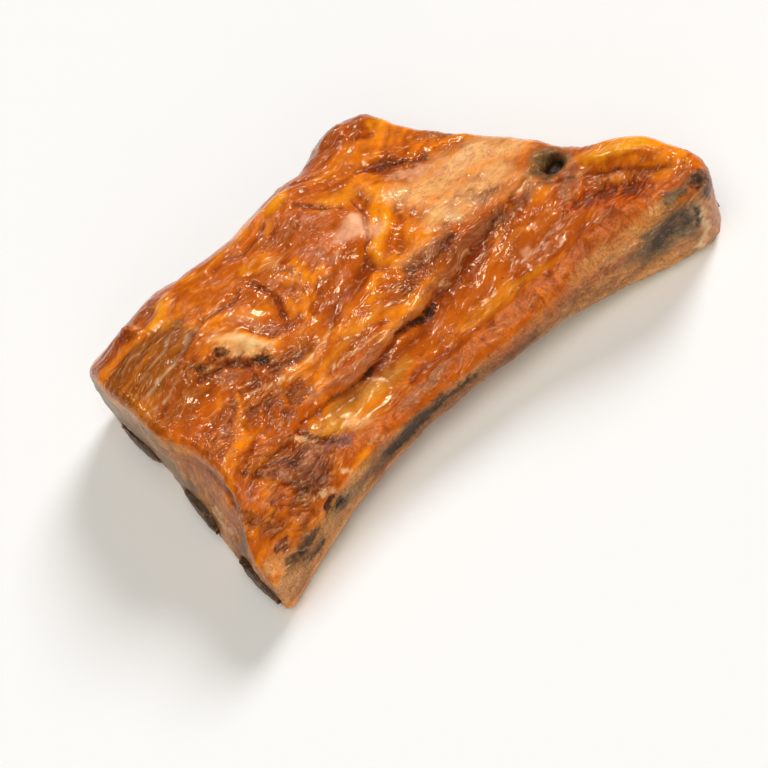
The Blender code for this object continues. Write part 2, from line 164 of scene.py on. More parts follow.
# Marks are strokes of a tone, in the order they are laid on: tone, softness of the edge, amount, how far
# they stand proud, how ragged they are, and the places along the stroke, each with its half width.
TOP_MARKS = [
    # the brown muscle that fans out at the far front corner
    ("lean", 7.2, 0.85, 0.15, 0.0, [(-82, 26, 9), (-70, 26, 12), (-60, 28, 8), (-54, 29, 3)]),
    ("lean", 5.4, 0.6, 0.1, 0.3, [(-82, 10, 6), (-68, 9, 5), (-61, 7, 4)]),
    ("rust", 5.4, 0.8, 0.15, 0.3, [(-82, 44, 4), (-72, 43, 4), (-64, 45, 4), (-54, 46, 3)]),
    ("amber", 2.5, 0.8, 0.2, 0.2, [(-84, 37.5, 1.2), (-76, 37, 1.5), (-68, 37.5, 1.8), (-62, 37, 1.4)]),
    ("rust", 1.6, 0.9, 0.45, 0.0, [(-66, 44, 1.8), (-64.5, 39, 1.6)]),
    ("cream", 0.7, 0.43, 0.1, 0.3, [(-65, 45, 0.6), (-64, 41.5, 0.7)]),
    ("gold", 2.9, 0.9, 0.25, 0.0, [(-60, 36.5, 1.6), (-56, 37.5, 3.2), (-53, 40.5, 2.6), (-49, 42, 1.4)]),
    ("gold", 2.5, 0.6, 0.1, 0.0, [(-57, 33, 1.8), (-52, 33, 1.8)]),
    ("sinew", 0.5, 0.64, 0.17, 0.2, [(-77, 17.4, 0.4), (-72, 18.5, 0.6), (-66, 19, 0.5), (-60, 21.5, 0.5),
        (-55, 24, 0.5), (-50, 25.3, 0.4)]),
    ("sinew", 0.4, 0.4, 0.1, 0.3, [(-76, 22.5, 0.25), (-70, 23.5, 0.35), (-64, 25.5, 0.35), (-60, 28, 0.25)]),
    ("sinew", 0.4, 0.4, 0.1, 0.3, [(-80, 11.5, 0.25), (-72, 12.5, 0.3), (-66, 14, 0.35), (-60, 15.5, 0.3)]),
    ("sinew", 0.4, 0.4, 0.1, 0.3, [(-79, 31, 0.25), (-72, 32, 0.35), (-65, 31, 0.25)]),
    ("amber", 2.2, 0.5, 0.1, 0.3, [(-82, 26, 0.6), (-74, 27, 0.6), (-66, 29.5, 0.6)]),
    ("rust", 2.2, 0.6, 0, 0.2, [(-66, 17, 0.9), (-58, 20, 1.2), (-52, 21, 1.0)]),
    # the smooth dark band behind it
    ("deep", 7.2, 0.8, 0, 0.0, [(-47, 36, 6), (-38, 33, 8), (-28, 32, 8), (-20, 35, 5)]),
    ("amber", 1.6, 0.6, 0.05, 0.2, [(-53, 39, 0.9), (-47, 33, 0.8), (-43, 27, 0.5)]),
    ("amber", 1.6, 0.6, 0.05, 0.2, [(-47, 41, 0.8), (-40, 33, 0.7), (-34, 26, 0.5)]),
    ("gold", 2.5, 0.6, 0.1, 0.2, [(-29, 28, 1.2), (-24, 24, 1.5), (-21, 20.5, 1.2)]),
    ("gold", 1.8, 0.5, 0.15, 0.0, [(-44, 43, 0.8), (-30, 38, 0.7), (-20, 41, 0.8), (-8, 44, 0.8)]),
    # char on the ridge, and the pale fat beside it
    ("rust", 5.4, 0.6, 0, 0.2, [(-62, 13, 3), (-55, 12, 3.5), (-50, 7, 3.5), (-46, 0, 2)]),
    ("film", 2.9, 0.6, 0.05, 0.6, [(-58, 4, 2.4), (-53, 4, 3), (-49, 5, 2)]),
    ("amber", 4.5, 0.7, 0.1, 0.2, [(-56, 17, 2), (-48, 17, 3), (-43, 10, 3.5), (-40, 2, 2.5)]),
    ("butter", 4.0, 0.85, 0.3, 0.0, [(-51, 16.5, 1.0), (-47, 12, 2.4), (-44, 7, 2.6), (-42, 2.5, 1.4)]),
    ("cream", 1.6, 0.62, 0.1, 0.0, [(-49, 15, 0.8), (-46, 11, 1.6), (-43, 6.6, 1.6), (-41.6, 3, 0.8)]),
    ("cream", 1.0, 0.5, 0.1, 0.0, [(-50, 10.6, 0.4), (-45, 13.6, 0.7), (-41, 14, 0.5)]),
    ("cream", 1.0, 0.5, 0.1, 0.0, [(-46, 5, 0.4), (-40, 8.6, 0.6), (-36, 9.4, 0.3)]),
    ("cream", 0.8, 0.43, 0.15, 0.3, [(-57, 13.5, 0.5), (-53, 14.5, 0.7), (-50, 13, 0.6)]),
    ("sear", 3, 0.9, 0, 0, [(-62, 14, 1.6), (-56, 10.4, 2.4), (-50, 7.6, 2), (-44, 0, 2)]),
    ("char", 2.8, 0.7, -0.15, 0, [(-62, 12.6, 0.6), (-60, 11.6, 1.5), (-58.6, 10.8, 0.8)]),
    ("char", 2.8, 0.74, -0.2, 0, [(-56, 11.4, 0.8), (-53, 11.6, 1.9), (-50.6, 9.8, 0.9)]),
    ("char", 2.8, 0.7, -0.15, 0, [(-47.4, 3, 0.8), (-45.4, 0.8, 1.7), (-43.4, -0.2, 0.7)]),
    # the glossy middle, with pinkish streaks of painted reflection
    ("pink", 2.0, 0.58, 0.05, 0.5, [(-40, 19, 3), (-37, 12, 3.5), (-36, 7, 3)]),
    ("rust", 2.5, 0.6, 0, 0.4, [(-30, 22, 1.6), (-29, 14, 1.6), (-30, 8, 1.4)]),
    ("pink", 1.6, 0.52, 0.05, 0.5, [(-25, 17, 3), (-22, 12, 2.6)]),
    ("film", 1.6, 0.8, 0.05, 0.2, [(-20.8, 19, 1.0), (-19.6, 16, 1.2), (-18.4, 13, 0.7)]),
    ("pink", 2.0, 0.55, 0.05, 0.5, [(-14, 18, 2.6), (-11, 14, 3.4), (-7, 10, 3.2), (-3, 15, 2.4)]),
    ("rust", 4, 0.6, 0, 0.4, [(-18, 30, 3), (-9, 28, 4), (-4, 22, 2.6)]),
    ("pink", 0.9, 0.35, 0.1, 0.4, [(-12, 21, 0.9), (-7, 25, 1.0), (-3, 28, 0.7)]),
    ("pink", 1.2, 0.42, 0.15, 0.5, [(-15, 34, 1.3), (-9, 35.5, 1.6), (-3, 35, 1.3)]),
    ("gold", 3.6, 0.7, 0.1, 0.0, [(-8, 39, 2.4), (-3, 40, 2)]),
    ("amber", 1.8, 0.85, 0.1, 0.1, [(-31, 7, 0.6), (-26, 5, 1.5), (-22, 7, 0.9)]),
    ("amber", 1.8, 0.85, 0.1, 0.1, [(-27, 11, 0.6), (-26, 5, 1.5), (-28, -1, 0.7)]),
    # the brown wet stretch before the crease
    ("rust", 3.6, 0.75, 0, 0.1, [(-51, -2, 2.6), (-42, -4, 2.6), (-33, -3.5, 2.2)]),
    ("film", 1.8, 0.6, 0.05, 0.6, [(-44, -4.4, 1.2), (-38, -5.4, 1.4), (-32, -5, 0.9)]),
    ("deep", 5.4, 0.8, 0, 0.1, [(-27, -2, 3), (-18, -3.4, 4), (-8, -2.5, 4), (-2, 1.5, 3)]),
    ("cream", 1.6, 0.46, 0.15, 0.1, [(-20, -3.2, 0.35), (-27, -6.4, 0.7), (-32, -7.6, 0.9), (-38, -8, 1.0),
        (-46, -7, 0.9), (-54, -5.4, 0.5)]),
    # the soft seam that forks in the middle
    ("gold", 5.4, 0.6, 0.05, 0.1, [(4, 27, 2.6), (8, 25, 3.4), (14, 25, 3)]),
    ("amber", 4.2, 0.85, 0.15, 0.1, [(18, 27, 2.2), (18.4, 18, 3.0), (13, 9, 3.4), (6, 3.4, 3.0),
        (1.6, -0.6, 2.4), (-4, -5, 1.8), (-9, -8.6, 0.9)]),
    ("amber", 3.2, 0.8, 0.15, 0.1, [(13, 10, 1.8), (19, 13, 2.2), (24, 17, 1.6)]),
    ("gold", 4.0, 0.65, 0.1, 0.2, [(18, 22, 1.2), (17.4, 16, 1.6), (10, 6.6, 1.7), (2, -0.4, 1.2)]),
    ("deep", 1.6, 0.7, -0.2, 0.1, [(12, 17, 0.8), (8, 10, 0.7), (2, 3.4, 0.6), (-4, -1, 0.4)]),
    # painted highlight on the flat facet beside the seam
    ("blush", 3.0, 0.85, -0.15, 0.2, [(-1, 13, 1.8), (4.6, 11.6, 4.4), (7, 8, 2.8)]),
    ("rust", 1.6, 0.7, -0.35, 0.1, [(-1, 33, 0.4), (1, 29.5, 0.8), (3, 26, 0.9), (6, 21, 0.5)]),
    # the far hump, and the fold below it with a thin dark line of painted shade under its lip
    ("rust", 5.4, 0.8, 0.05, 0.3, [(14, 48, 4), (22, 49, 7), (32, 48, 7), (39, 45, 3)]),
    ("bark", 3.6, 0.5, 0.05, 0.6, [(18, 52, 3), (28, 53, 4), (36, 50, 3)]),
    ("amber", 5.4, 0.6, 0.05, 0.3, [(10, 37, 3), (20, 36, 4), (30, 36, 3), (38, 38, 3)]),
    ("gold", 2.9, 0.7, 0.15, 0.1, [(37, 42, 2), (41, 41, 1.6)]),
    ("rust", 3.2, 0.85, -0.1, 0.2, [(22, 29.6, 1.4), (28, 27.4, 2.2), (34, 24.6, 1.8), (39, 20, 1.4),
        (42, 15, 0.9)]),
    # painted shade: the thin dark line in the fold under the overhanging lip
    ("char", 1.8, 0.55, -0.4, 0.0, [(23, 30.4, 0.2), (27, 27.6, 0.6), (32, 25.2, 0.6), (35, 23.6, 0.2)]),
    # painted reflection: a pinkish sheen along the ridge above the fold
    ("pink", 0.8, 0.42, 0.25, 0.2, [(22, 33.4, 0.6), (27, 31, 0.8), (31, 28.6, 0.8), (35, 27, 0.6)]),
    # painted highlight below the fold
    ("blush", 1.8, 0.75, 0, 0.1, [(26, 21.6, 2.2), (30, 20.4, 3), (34, 17, 2.6)]),
    ("film", 2.5, 0.6, 0, 0.1, [(27.4, 24.4, 0.8), (26.6, 20, 1.1)]),
    # the pale fat at the back
    ("fat", 8.1, 0.95, 0.15, 0.0, [(23, 12, 4), (31, 7, 8), (42, 8, 9), (52, 8, 7), (58, 2, 5)]),
    ("fat", 7.2, 0.9, 0.1, 0.15, [(25, -3, 4), (36, -3, 7), (48, -4, 6)]),
    ("amber", 3.6, 0.6, 0.05, 0.3, [(15, -1, 3), (21, -5, 2.4)]),
    # painted reflection: the two pinkish sheens over the pale fat
    ("pink", 3.0, 0.5, 0.1, 0.0, [(34, 14, 4), (45, 9, 5), (54, 5, 4)]),
    ("cream", 2.4, 0.2, 0.05, 0.2, [(38, 11, 3), (47, 6, 4), (56, 1, 3)]),
    ("pink", 3.0, 0.4, 0.1, 0.0, [(28, -4, 3), (38, 0, 3), (50, -4, 3)]),
    ("amber", 3.0, 0.7, 0.1, 0.6, [(24, 4, 2), (34, 1.5, 2.2), (44, 2.4, 2), (54, 2, 1.6)]),
    ("amber", 2.4, 0.6, 0.1, 0.6, [(27, 12, 1.6), (38, 14, 1.6), (48, 15, 1.4)]),
    ("cream", 2.0, 0.43, 0.15, 0.3, [(28, -1, 1.6), (26, -7, 1.4), (31, -11, 1.4)]),
    ("butter", 5.0, 0.6, 0.05, 0.3, [(45, -13, 1.4), (49, -15, 1.8), (53, -12, 1.2)]),
    ("cream", 1.4, 0.36, 0.15, 0.3, [(44, 12, 3), (53, 9, 3)]),
    ("bark", 2.3, 0.65, -0.1, 0.3, [(34.6, -6, 1.0), (37.6, -8.4, 1.5)]),
    ("bark", 2.2, 0.55, -0.1, 0.3, [(43.2, -8, 0.8), (44.4, -5.6, 0.6)]),
    ("rust", 2.6, 0.7, -0.05, 0.5, [(35, -2, 1.2), (40, -7, 2), (46, -11, 1.4)]),
    ("rust", 2.0, 0.6, 0, 0.5, [(30, 2, 0.8), (36, 4, 1.0), (42, 2, 0.8)]),
    ("rust", 2.9, 0.6, 0.05, 0.4, [(30, -13.6, 1.6), (36, -14, 2), (43, -16, 1.6)]),
    ("amber", 3.6, 0.7, 0.15, 0.1, [(43, 21, 2), (50, 20, 1.6), (56, 15, 1.4)]),
    ("film", 2.5, 0.7, 0.05, 0.3, [(47, 27, 2), (51, 22, 1.4)]),
    ("sear", 4, 0.8, 0, 0.1, [(0, -12, 2), (12, -13, 3), (24, -15, 2.4)]),
    ("film", 3.0, 0.8, 0.1, 0.2, [(5, -8.4, 1.8), (12, -9.6, 2.8), (20, -11, 2.4)]),
    # painted reflection: pinkish sheens before the crease
    ("pink", 2.4, 0.5, 0.05, 0.4, [(4, -7, 2), (12, -8.6, 3), (21, -10.4, 2.4)]),
    ("pink", 2.0, 0.45, 0.05, 0.5, [(-8, 2, 2), (-18, -1, 3), (-28, -4, 2.4)]),
    ("film", 2.6, 0.8, 0.1, 0.2, [(33, -15.4, 1.4), (38, -17, 1.8)]),
    ("rust", 3.2, 0.9, -0.25, 0.1, [(1, -12.6, 1.6), (12, -13.2, 2.4), (22, -13.8, 1.8), (28, -15, 1)]),
    # strands along the crease, the crease, and the wet valley in front of it
    ("gold", 2.9, 0.6, 0.1, 0.2, [(-12, -11.6, 1.2), (-22, -11, 1.4), (-34, -12, 1.2)]),
    ("film", 2.0, 0.6, 0.2, 0.2, [(-44, -18, 0.8), (-28, -18.6, 1.0), (-10, -18.8, 1.1), (6, -18, 1.0),
        (24, -15.6, 1.1), (40, -14.6, 0.8)]),
    ("cream", 1.6, 0.42, 0.1, 0.3, [(-13, -16.8, 0.8), (-22, -15, 1.0), (-32, -14.4, 1.1),
        (-42, -15.5, 0.8)]),
    # painted reflection: a pinkish sheen on the ridge above the crease
    ("pink", 0.9, 0.56, 0.2, 0.4, [(-45, -18, 0.9), (-34, -18.6, 1.3), (-22, -19, 1.2), (-12, -18.8, 0.8)]),
    ("film", 2.2, 0.8, 0.15, 0.3, [(-48.6, -11, 1.2), (-45, -14, 2.0), (-42, -17, 1.4)]),
    ("mauve", 2.9, 0.75, 0.1, 0.4, [(-58, -8, 1.2), (-53, -13, 1.8), (-50, -18, 1.8)]),
    ("cream", 2.0, 0.24, 0.05, 0.35, [(-3, -17.4, 0.7), (8, -17.4, 1.0), (18, -17, 1.1), (30, -17.2, 0.9)]),
    ("film", 2.4, 0.7, 0.1, 0.2, [(36, -18.4, 0.9), (44, -18, 1.4), (52, -16.6, 1.2)]),
    ("deep", 4.7, 0.95, 0, 0.0, [(-16, -25, 2.4), (0, -25, 3.6), (20, -25, 3.6), (40, -27, 4), (53, -31, 4)]),
    ("deep", 4.3, 0.8, 0, 0.0, [(-4, -32, 2.4), (10, -35, 2.4), (30, -37, 2.4), (46, -37, 2.6)]),
    ("gold", 4.4, 0.9, 0.05, 0.0, [(7, -31, 1.2), (14, -32, 2.6), (21, -33.4, 2.8), (29, -36, 1.8),
        (36, -38, 0.8)]),
    ("amber", 1.4, 0.6, 0.05, 0.2, [(-22, -28, 0.5), (-8, -28.6, 0.6), (8, -30, 0.7), (16, -30, 0.6)]),
    ("amber", 1.4, 0.5, 0.05, 0.2, [(24, -22.6, 0.4), (36, -23.4, 0.6), (48, -26, 0.5)]),
    # painted highlight in the valley
    ("blush", 1.6, 0.7, 0.05, 0.1, [(33, -28.8, 1.0), (36, -29.8, 1.2)]),
    ("honey", 4.0, 0.95, 0.1, 0.0, [(-47, -27, 2.6), (-40, -28.4, 6.2), (-31, -27, 6.0), (-22, -25.6, 3),
        (-14, -26, 1)]),
    ("amber", 4.3, 0.8, 0.1, 0.1, [(-40, -32, 2.4), (-30, -31.5, 3), (-20, -31.6, 2.6)]),
    ("butter", 3.4, 0.75, 0.1, 0.1, [(-44, -31.4, 1.0), (-40, -32.6, 1.6), (-35, -33.6, 1.2)]),
    # painted reflection: a thin pinkish sheen beside the crease
    ("pink", 0.7, 0.35, 0.25, 0.5, [(-12, -19.2, 0.4), (-2, -19.1, 0.5), (10, -19.3, 0.6), (20, -20, 0.8),
        (32, -20.6, 0.8), (43, -22, 0.7)]),
    # the thin dark line along the crease is painted shade under the overhanging lobe; the short dashes after
    # it are char
    ("char", 1.6, 0.42, -0.2, 0.1, [(-50, -22, 0.22), (-38, -21, 0.3), (-30, -20.7, 0.3), (-6, -20.6, 0.38),
        (14, -19.6, 0.3), (36, -19.6, 0.22)]),
    ("char", 2.0, 0.8, -0.35, 0.1, [(-28.6, -20.9, 0.4), (-25, -20.9, 1.1), (-21.6, -20.5, 0.4)]),
    ("char", 2.0, 0.85, -0.35, 0.1, [(-12, -20.2, 0.4), (-6, -20.6, 1.1), (0, -20.7, 1.2),
        (4.6, -20.6, 0.5)]),
    # the rough crest along the near edge
    ("crest", 3.6, 0.85, 0.1, 0.2, [(-46, -38, 2.6), (-34, -38.4, 2.4), (-8, -37.6, 2.4), (4, -39, 2.8)]),
    ("crest", 3.6, 0.9, 0.1, 0.15, [(4, -39, 2.8), (16, -41, 3.2), (30, -43, 4), (46, -46, 4.4),
        (60, -48, 4.4)]),
    ("film", 2, 0.75, 0.15, 0.4, [(-27, -38.6, 1.2), (-20, -38, 1.7), (-12, -37.6, 1.7), (-7, -37.6, 1.0)]),
    # the wrinkled lean at the near front corner
    ("sear", 7, 0.92, 0, 0.0, [(-84, -30, 7), (-72, -31, 11), (-60, -32, 9), (-51, -31, 5)]),
    ("sear", 6, 0.6, 0, 0.2, [(-78, -12, 3), (-66, -8, 4), (-56, -6, 5), (-46, -12, 4)]),
    # painted reflection: a pinkish sheen on the wrinkled lean
    ("pink", 2.0, 0.42, 0.05, 0.6, [(-68, -9, 2.4), (-66, -13, 2.0)]),
    ("glaze", 3.6, 0.8, 0, 0.1, [(-83, -25, 2.4), (-78, -24, 3.6), (-77, -31, 3.6)]),
    ("glaze", 3.6, 0.7, 0, 0.2, [(-74, -37, 2.6), (-70, -34, 2.0)]),
    ("mauve", 2.7, 0.9, 0.05, 0.25, [(-69, -27, 1.8), (-66, -30, 2.2)]),
    ("mauve", 2.7, 0.9, 0.05, 0.2, [(-63, -25, 2.6), (-60, -30, 3.6)]),
    ("film", 2.7, 0.9, 0.05, 0.3, [(-57, -30, 2.4), (-53, -29, 2.8), (-51, -25, 1.6)]),
    ("mauve", 2.9, 0.85, 0.05, 0.2, [(-67, -36, 2.2), (-60, -37, 2.8), (-55, -34, 2.2)]),
    ("rust", 1.8, 0.7, -0.1, 0.3, [(-66, -24, 0.5), (-63, -30, 0.6), (-64, -36, 0.5)]),
    ("rust", 1.8, 0.7, -0.1, 0.3, [(-58, -26, 0.5), (-56.5, -32, 0.6), (-58, -38, 0.5)]),
    # painted reflection: pinkish sheens on the wrinkled lean
    ("pink", 1.6, 0.46, 0.05, 0.5, [(-70, -28, 2), (-64, -31, 3.4), (-57, -32, 3.4), (-53, -29, 2)]),
    ("pink", 1.4, 0.4, 0.05, 0.5, [(-78, -26, 2), (-76, -33, 2.6), (-70, -36, 2)]),
    ("plum", 0.8, 0.9, 0, 0.0, [(-49, -31.6, 2.2), (-48.2, -35, 2.4)]),
    ("cream", 1.2, 0.5, 0.15, 0.3, [(-55, -24, 1.2), (-52, -27, 1.0)]),
    ("amber", 1.8, 0.5, 0.15, 0.2, [(-55.5, -36.6, 0.9), (-52.6, -39, 1.1)]),
    ("amber", 1.6, 0.5, 0.25, 0.1, [(-81, -19, 0.7), (-73, -17, 1.1), (-66, -12, 1.1), (-61, -6, 1.0),
        (-58.4, -2, 0.7)]),
    ("amber", 1.6, 0.5, 0.2, 0.2, [(-70, -24, 0.7), (-64, -23.4, 0.9), (-58, -23, 0.7)]),
    ("amber", 1.4, 0.6, 0.4, 0.1, [(-79, -20, 0.5), (-83, -27, 0.5), (-86, -34, 0.6), (-84.6, -38.4, 0.7),
        (-80, -36, 0.6), (-74, -32, 0.4)]),
    # painted reflection: a pinkish sheen on the corner's edge
    ("pink", 0.8, 0.49, 0.25, 0.2, [(-83, -29, 0.7), (-82.4, -33, 1.0)]),
    # the open corner where the bone shows
    ("tan", 3.2, 0.9, 0, 0.1, [(-87, -46.5, 3.0), (-77, -46.4, 3.0), (-67, -45.6, 2.4)]),
    ("amber", 2.2, 0.7, 0.15, 0.3, [(-90, -42.6, 1.0), (-83, -41.4, 1.0), (-74, -41.2, 0.9)]),
    ("mauve", 2.2, 0.8, -0.25, 0.0, [(-82.6, -42.8, 1.2), (-79.6, -42.6, 1.4)]),
    ("soot", 1.8, 0.9, -0.1, 0.2, [(-74.6, -44.4, 1.0), (-71.4, -44.2, 1.4), (-69, -46, 1.0)]),
    ("soot", 2.2, 0.9, -0.2, 0.3, [(-82, -47, 1.4), (-76, -46.6, 2.2), (-71, -45.6, 1.8)]),
    ("char", 2.2, 0.55, -0.3, 0.0, [(-79, -46.6, 1.2), (-73.6, -46.4, 1.6), (-68.6, -45.4, 1.0)]),
    ("cream", 0.7, 0.61, 0.2, 0.2, [(-66.6, -39.5, 0.6), (-64, -40.2, 0.6)]),
    ("cream", 0.8, 0.65, 0.25, 0.1, [(-61, -41.2, 1.2), (-58.4, -41.8, 0.9)]),
    ("cream", 0.8, 0.58, 0.2, 0.1, [(-53.4, -41, 0.8), (-51.6, -42, 0.7)]),
    ("char", 0.6, 0.74, -2.2, 0.0, [(-63.6, -43.8, 0.45), (-60.4, -43.5, 0.83), (-57, -43.4, 0.6)]),
    # the hook pit
    ("olive", 5, 0.95, 0, 0.0, [(58, -14, 5.0), (63, -12.6, 6.6)]),
    ("slate", 3, 0.7, 0, 0.0, [(60, -13.4, 5.0), (63, -12.4, 5.4)]),
    ("soot", 1.6, 1.0, 0, 0.0, [(62.2, -12.8, 3.2), (63, -12.4, 3.2)]),
    ("char", 1.6, 1.0, -0.8, 0.0, [(62.2, -12.8, 2.6), (63, -12.4, 2.6)]),
    # the back end
    ("film", 3, 0.6, 0, 0.2, [(65, -21, 2), (59, -25, 2.4), (53, -30, 2)]),
    ("ember", 4.4, 0.95, 0, 0.0, [(53, -30, 2.6), (62, -36, 4.4), (71, -43, 4), (62, -42, 3.4)]),
    ("sear", 2, 0.6, 0, 0.4, [(64, -33, 0.8), (69, -38, 1.2), (73, -42, 0.8)]),
    ("crest", 3, 0.85, 0.1, 0.2, [(50, -44, 2), (62, -47, 2.6), (72, -49, 2.6)]),
    ("rust", 2, 0.7, 0.1, 0.3, [(55, -41, 1.2), (58, -43.6, 1.6)]),
    ("amber", 3.6, 0.95, 0.2, 0.0, [(66, -22, 2), (71, -25, 3.6), (78, -30, 4.4), (84, -38, 3.4)]),
    ("gold", 3.6, 0.9, 0.1, 0.1, [(69, -25, 2.2), (73.4, -28.6, 3.2), (78, -32, 3.2), (81, -36, 2.4)]),
    # painted reflection: a pinkish sheen on the end hump
    ("pink", 2, 0.42, 0.1, 0.4, [(80, -29, 1.6), (84, -34, 1.8)]),
    # the two dark lines along the roll's crease are painted shade under the rolled flap
    ("deep", 1.8, 0.8, -0.1, 0.0, [(64, -26.6, 0.5), (69, -32, 0.8), (74.6, -39.4, 0.8), (81, -46.6, 0.6)]),
    ("char", 1.2, 0.55, -0.15, 0.0, [(67, -30, 0.1), (71, -34.6, 0.35), (76, -41, 0.35), (80, -45.6, 0.2)]),
    ("amber", 2.9, 0.7, 0.1, 0.2, [(83, -45, 1.2), (86, -50, 1.2)]),
    ("tan", 3, 0.9, 0, 0.2, [(38, -48, 1.4), (50, -50.4, 2.0), (60, -53, 2.4), (70, -55.4, 2.6)]),
    ("slate", 2.4, 0.95, 0.1, 0.1, [(70, -54, 1.4), (74, -54, 2.4), (78, -56, 2.0)]),
    ("bark", 2.6, 0.95, 0.1, 0.1, [(81, -55, 1.6), (84, -56, 2.8), (88, -57, 2.8)]),
    ("char", 2.4, 0.7, 0.1, 0.0, [(81, -57, 1.4), (85, -57, 2.4), (89, -58, 2)]),
]


def smooth_through(points, share):
    """Points on a smooth curve through the given ones, where share runs from 0 to 1 along it."""
    points = np.array(points, float)
    steps = np.linalg.norm(np.diff(points, axis=0), axis=1)
    knots = np.concatenate([[0.0], np.cumsum(steps)]) / steps.sum()
    slopes = np.gradient(points, knots, axis=0)
    i = np.clip(np.searchsorted(knots, share, side="right") - 1, 0, len(points) - 2)
    span = (knots[i + 1] - knots[i])[..., None]
    u = (share - knots[i])[..., None] / span
    end = u**2 * (3 - 2 * u)
    leave, arrive = u * (1 - u) ** 2 * span, -(u**2) * (1 - u) * span
    return (1 - end) * points[i] + end * points[i + 1] + leave * slopes[i] + arrive * slopes[i + 1]


def plan(along, across):
    """The place in plan of shares of the way along and across the slab, blended from its four sides."""
    s, t = along[..., None], across[..., None]
    sides = (1 - t) * smooth_through(NEAR_SIDE, along) + t * smooth_through(FAR_SIDE, along)
    ends = (1 - s) * smooth_through(FRONT_END, across) + s * smooth_through(BACK_END, across)
    near = (1 - s) * np.array(NEAR_FRONT) + s * np.array(NEAR_BACK)
    far = (1 - s) * np.array(FAR_FRONT) + s * np.array(FAR_BACK)
    return sides + ends - (1 - t) * near - t * far


def corners_rounded(along, across):
    """The same shares, with those near the four corners of the plan drawn in."""
    for name, radius in CORNER_RADII.items():
        at_far, at_back = name.startswith("far"), name.endswith("back")
        from_end = (1 - along if at_back else along) * LENGTH
        from_side = (1 - across if at_far else across) * WIDTH
        p, q = np.clip(1 - from_end / radius, 0, 1), np.clip(1 - from_side / radius, 0, 1)
        inwards = radius * p * (1 - np.sqrt(1 - q**2 / 2)) / LENGTH
        sideways = radius * q * (1 - np.sqrt(1 - p**2 / 2)) / WIDTH
        along = along - inwards if at_back else along + inwards
        across = across - sideways if at_far else across + sideways
    return along, across


def net_weights(share, count):
    """The four neighbours in a row of a net, and the weight of each, for a smooth curve through them."""
    place = np.clip(share, 0, 1) * (count - 1)
    i = np.clip(np.floor(place).astype(int), 0, count - 2)
    u = place - i
    cubic = (2 * u**2 - u**3 - u, 3 * u**3 - 5 * u**2 + 2, 4 * u**2 - 3 * u**3 + u, u**3 - u**2)
    return [(np.clip(i + k - 1, 0, count - 1), weight / 2) for k, weight in enumerate(cubic)]


def net_height(net, along, across):
    """A smooth height over a net of heights."""
    net = np.array(net, float)
    rows, columns = net_weights(across, net.shape[0]), net_weights(along, net.shape[1])
    return sum(net[r, c] * in_row * in_column for r, in_row in rows for c, in_column in columns)


def from_line(x, y, points):
    """Signed distance from a bent line, positive on its left, and the share of the way along it."""
    points = np.array(points, float)
    lengths = np.linalg.norm(np.diff(points, axis=0), axis=1)
    nearest, side, share = np.full(x.shape, np.inf), np.zeros(x.shape), np.zeros(x.shape)
    done = 0.0
    for start, end, length in zip(points[:-1], points[1:], lengths):
        ux, uy = (end - start) / length
        run = np.clip((x - start[0]) * ux + (y - start[1]) * uy, 0, length)
        gap = np.hypot(x - start[0] - run * ux, y - start[1] - run * uy)
        nearer = gap < nearest
        nearest = np.where(nearer, gap, nearest)
        side = np.where(nearer, np.sign(ux * (y - start[1]) - uy * (x - start[0])), side)
        share = np.where(nearer, (done + run) / lengths.sum(), share)
        done += length
    return nearest * side, share


def fold(x, y, points, height, width, reach):
    """A step that fades away from its line, and towards the line's two ends."""
    gap, share = from_line(x, y, points)
    fade = np.sin(np.pi * np.clip(share, 0.04, 0.96)) ** 0.6
    return height * np.tanh(gap / width) * np.exp(-((np.abs(gap) / reach) ** 1.5)) * fade


def mound(x, y, centre, half_length, half_width, turn, height):
    """A rounded swelling, or a hollow where the height is negative."""
    angle = math.radians(turn)
    dx, dy = x - centre[0], y - centre[1]
    along = (dx * math.cos(angle) + dy * math.sin(angle)) / half_length
    across = (dy * math.cos(angle) - dx * math.sin(angle)) / half_width
    return height * np.exp(-(along**2) - across**2)


def bone_line(x, line):
    """How far across the rack a bone lies, at places along it: a parabola through its three values."""
    share = np.asarray(x) / LENGTH + 0.5
    front, middle, back = line
    ends = front * (1 - share) * (1 - 2 * share) + back * share * (2 * share - 1)
    return ends + middle * 4 * share * (1 - share)


def under_height(x, y):
    """The underside: an arch that sinks in between the bones, flat where it lies on the table."""
    span = np.clip((x - ARCH_START) / (ARCH_END - ARCH_START) * 2 - 1, -1, 1)
    arch = ARCH_RISE * (1 - np.abs(span) ** 2.4)
    from_bone = np.min([np.abs(y - bone_line(x, line)) for line in BONE_LINES], axis=0)
    return arch + BETWEEN_BONES_DIP * np.clip((from_bone - BONE_WIDTH / 2) / DIP_REACH, 0, 1)


def top_height(x, y, along, across):
    """The top of the meat: its crown, folds, mounds and hook pit."""
    z = net_height(CROWN, along, across)
    for points, height, width, reach in FOLDS.values():
        z = z + fold(x, y, points, height, width, reach)
    for centre, half_length, half_width, turn, height in MOUNDS.values():
        z = z + mound(x, y, centre, half_length, half_width, turn, height)
    from_pit = np.hypot(x - HOOK_AT[0], y - HOOK_AT[1]) / HOOK_RADIUS
    return z - HOOK_DEPTH * np.exp(-(from_pit**4))


def rounding(gaps_and_radii):
    """How far a surface falls beside edges that are rounded over, given each edge's distance and radius."""
    over = [np.clip(1 - gap / radius, 0, 1) ** 2 for gap, radius in gaps_and_radii]
    deepest = sum(share * radius for share, (_, radius) in zip(over, gaps_and_radii))
    level = np.prod([1 - share for share in over], axis=0)
    return deepest / np.maximum(sum(over), 1e-9) * (1 - np.sqrt(level))


def front_lean(x, y, up):
    """How far the front end leans back at a share of the way up it."""
    hollow = FRONT_HOLLOW * np.exp(-(np.abs((y - FRONT_HOLLOW_AT) / FRONT_HOLLOW_REACH) ** 3))
    fade = np.clip(-(x + LENGTH / 2 - FRONT_HOLLOW_DEPTH) / FRONT_HOLLOW_DEPTH, 0, 1)
    return hollow * up**1.3 * fade**1.5


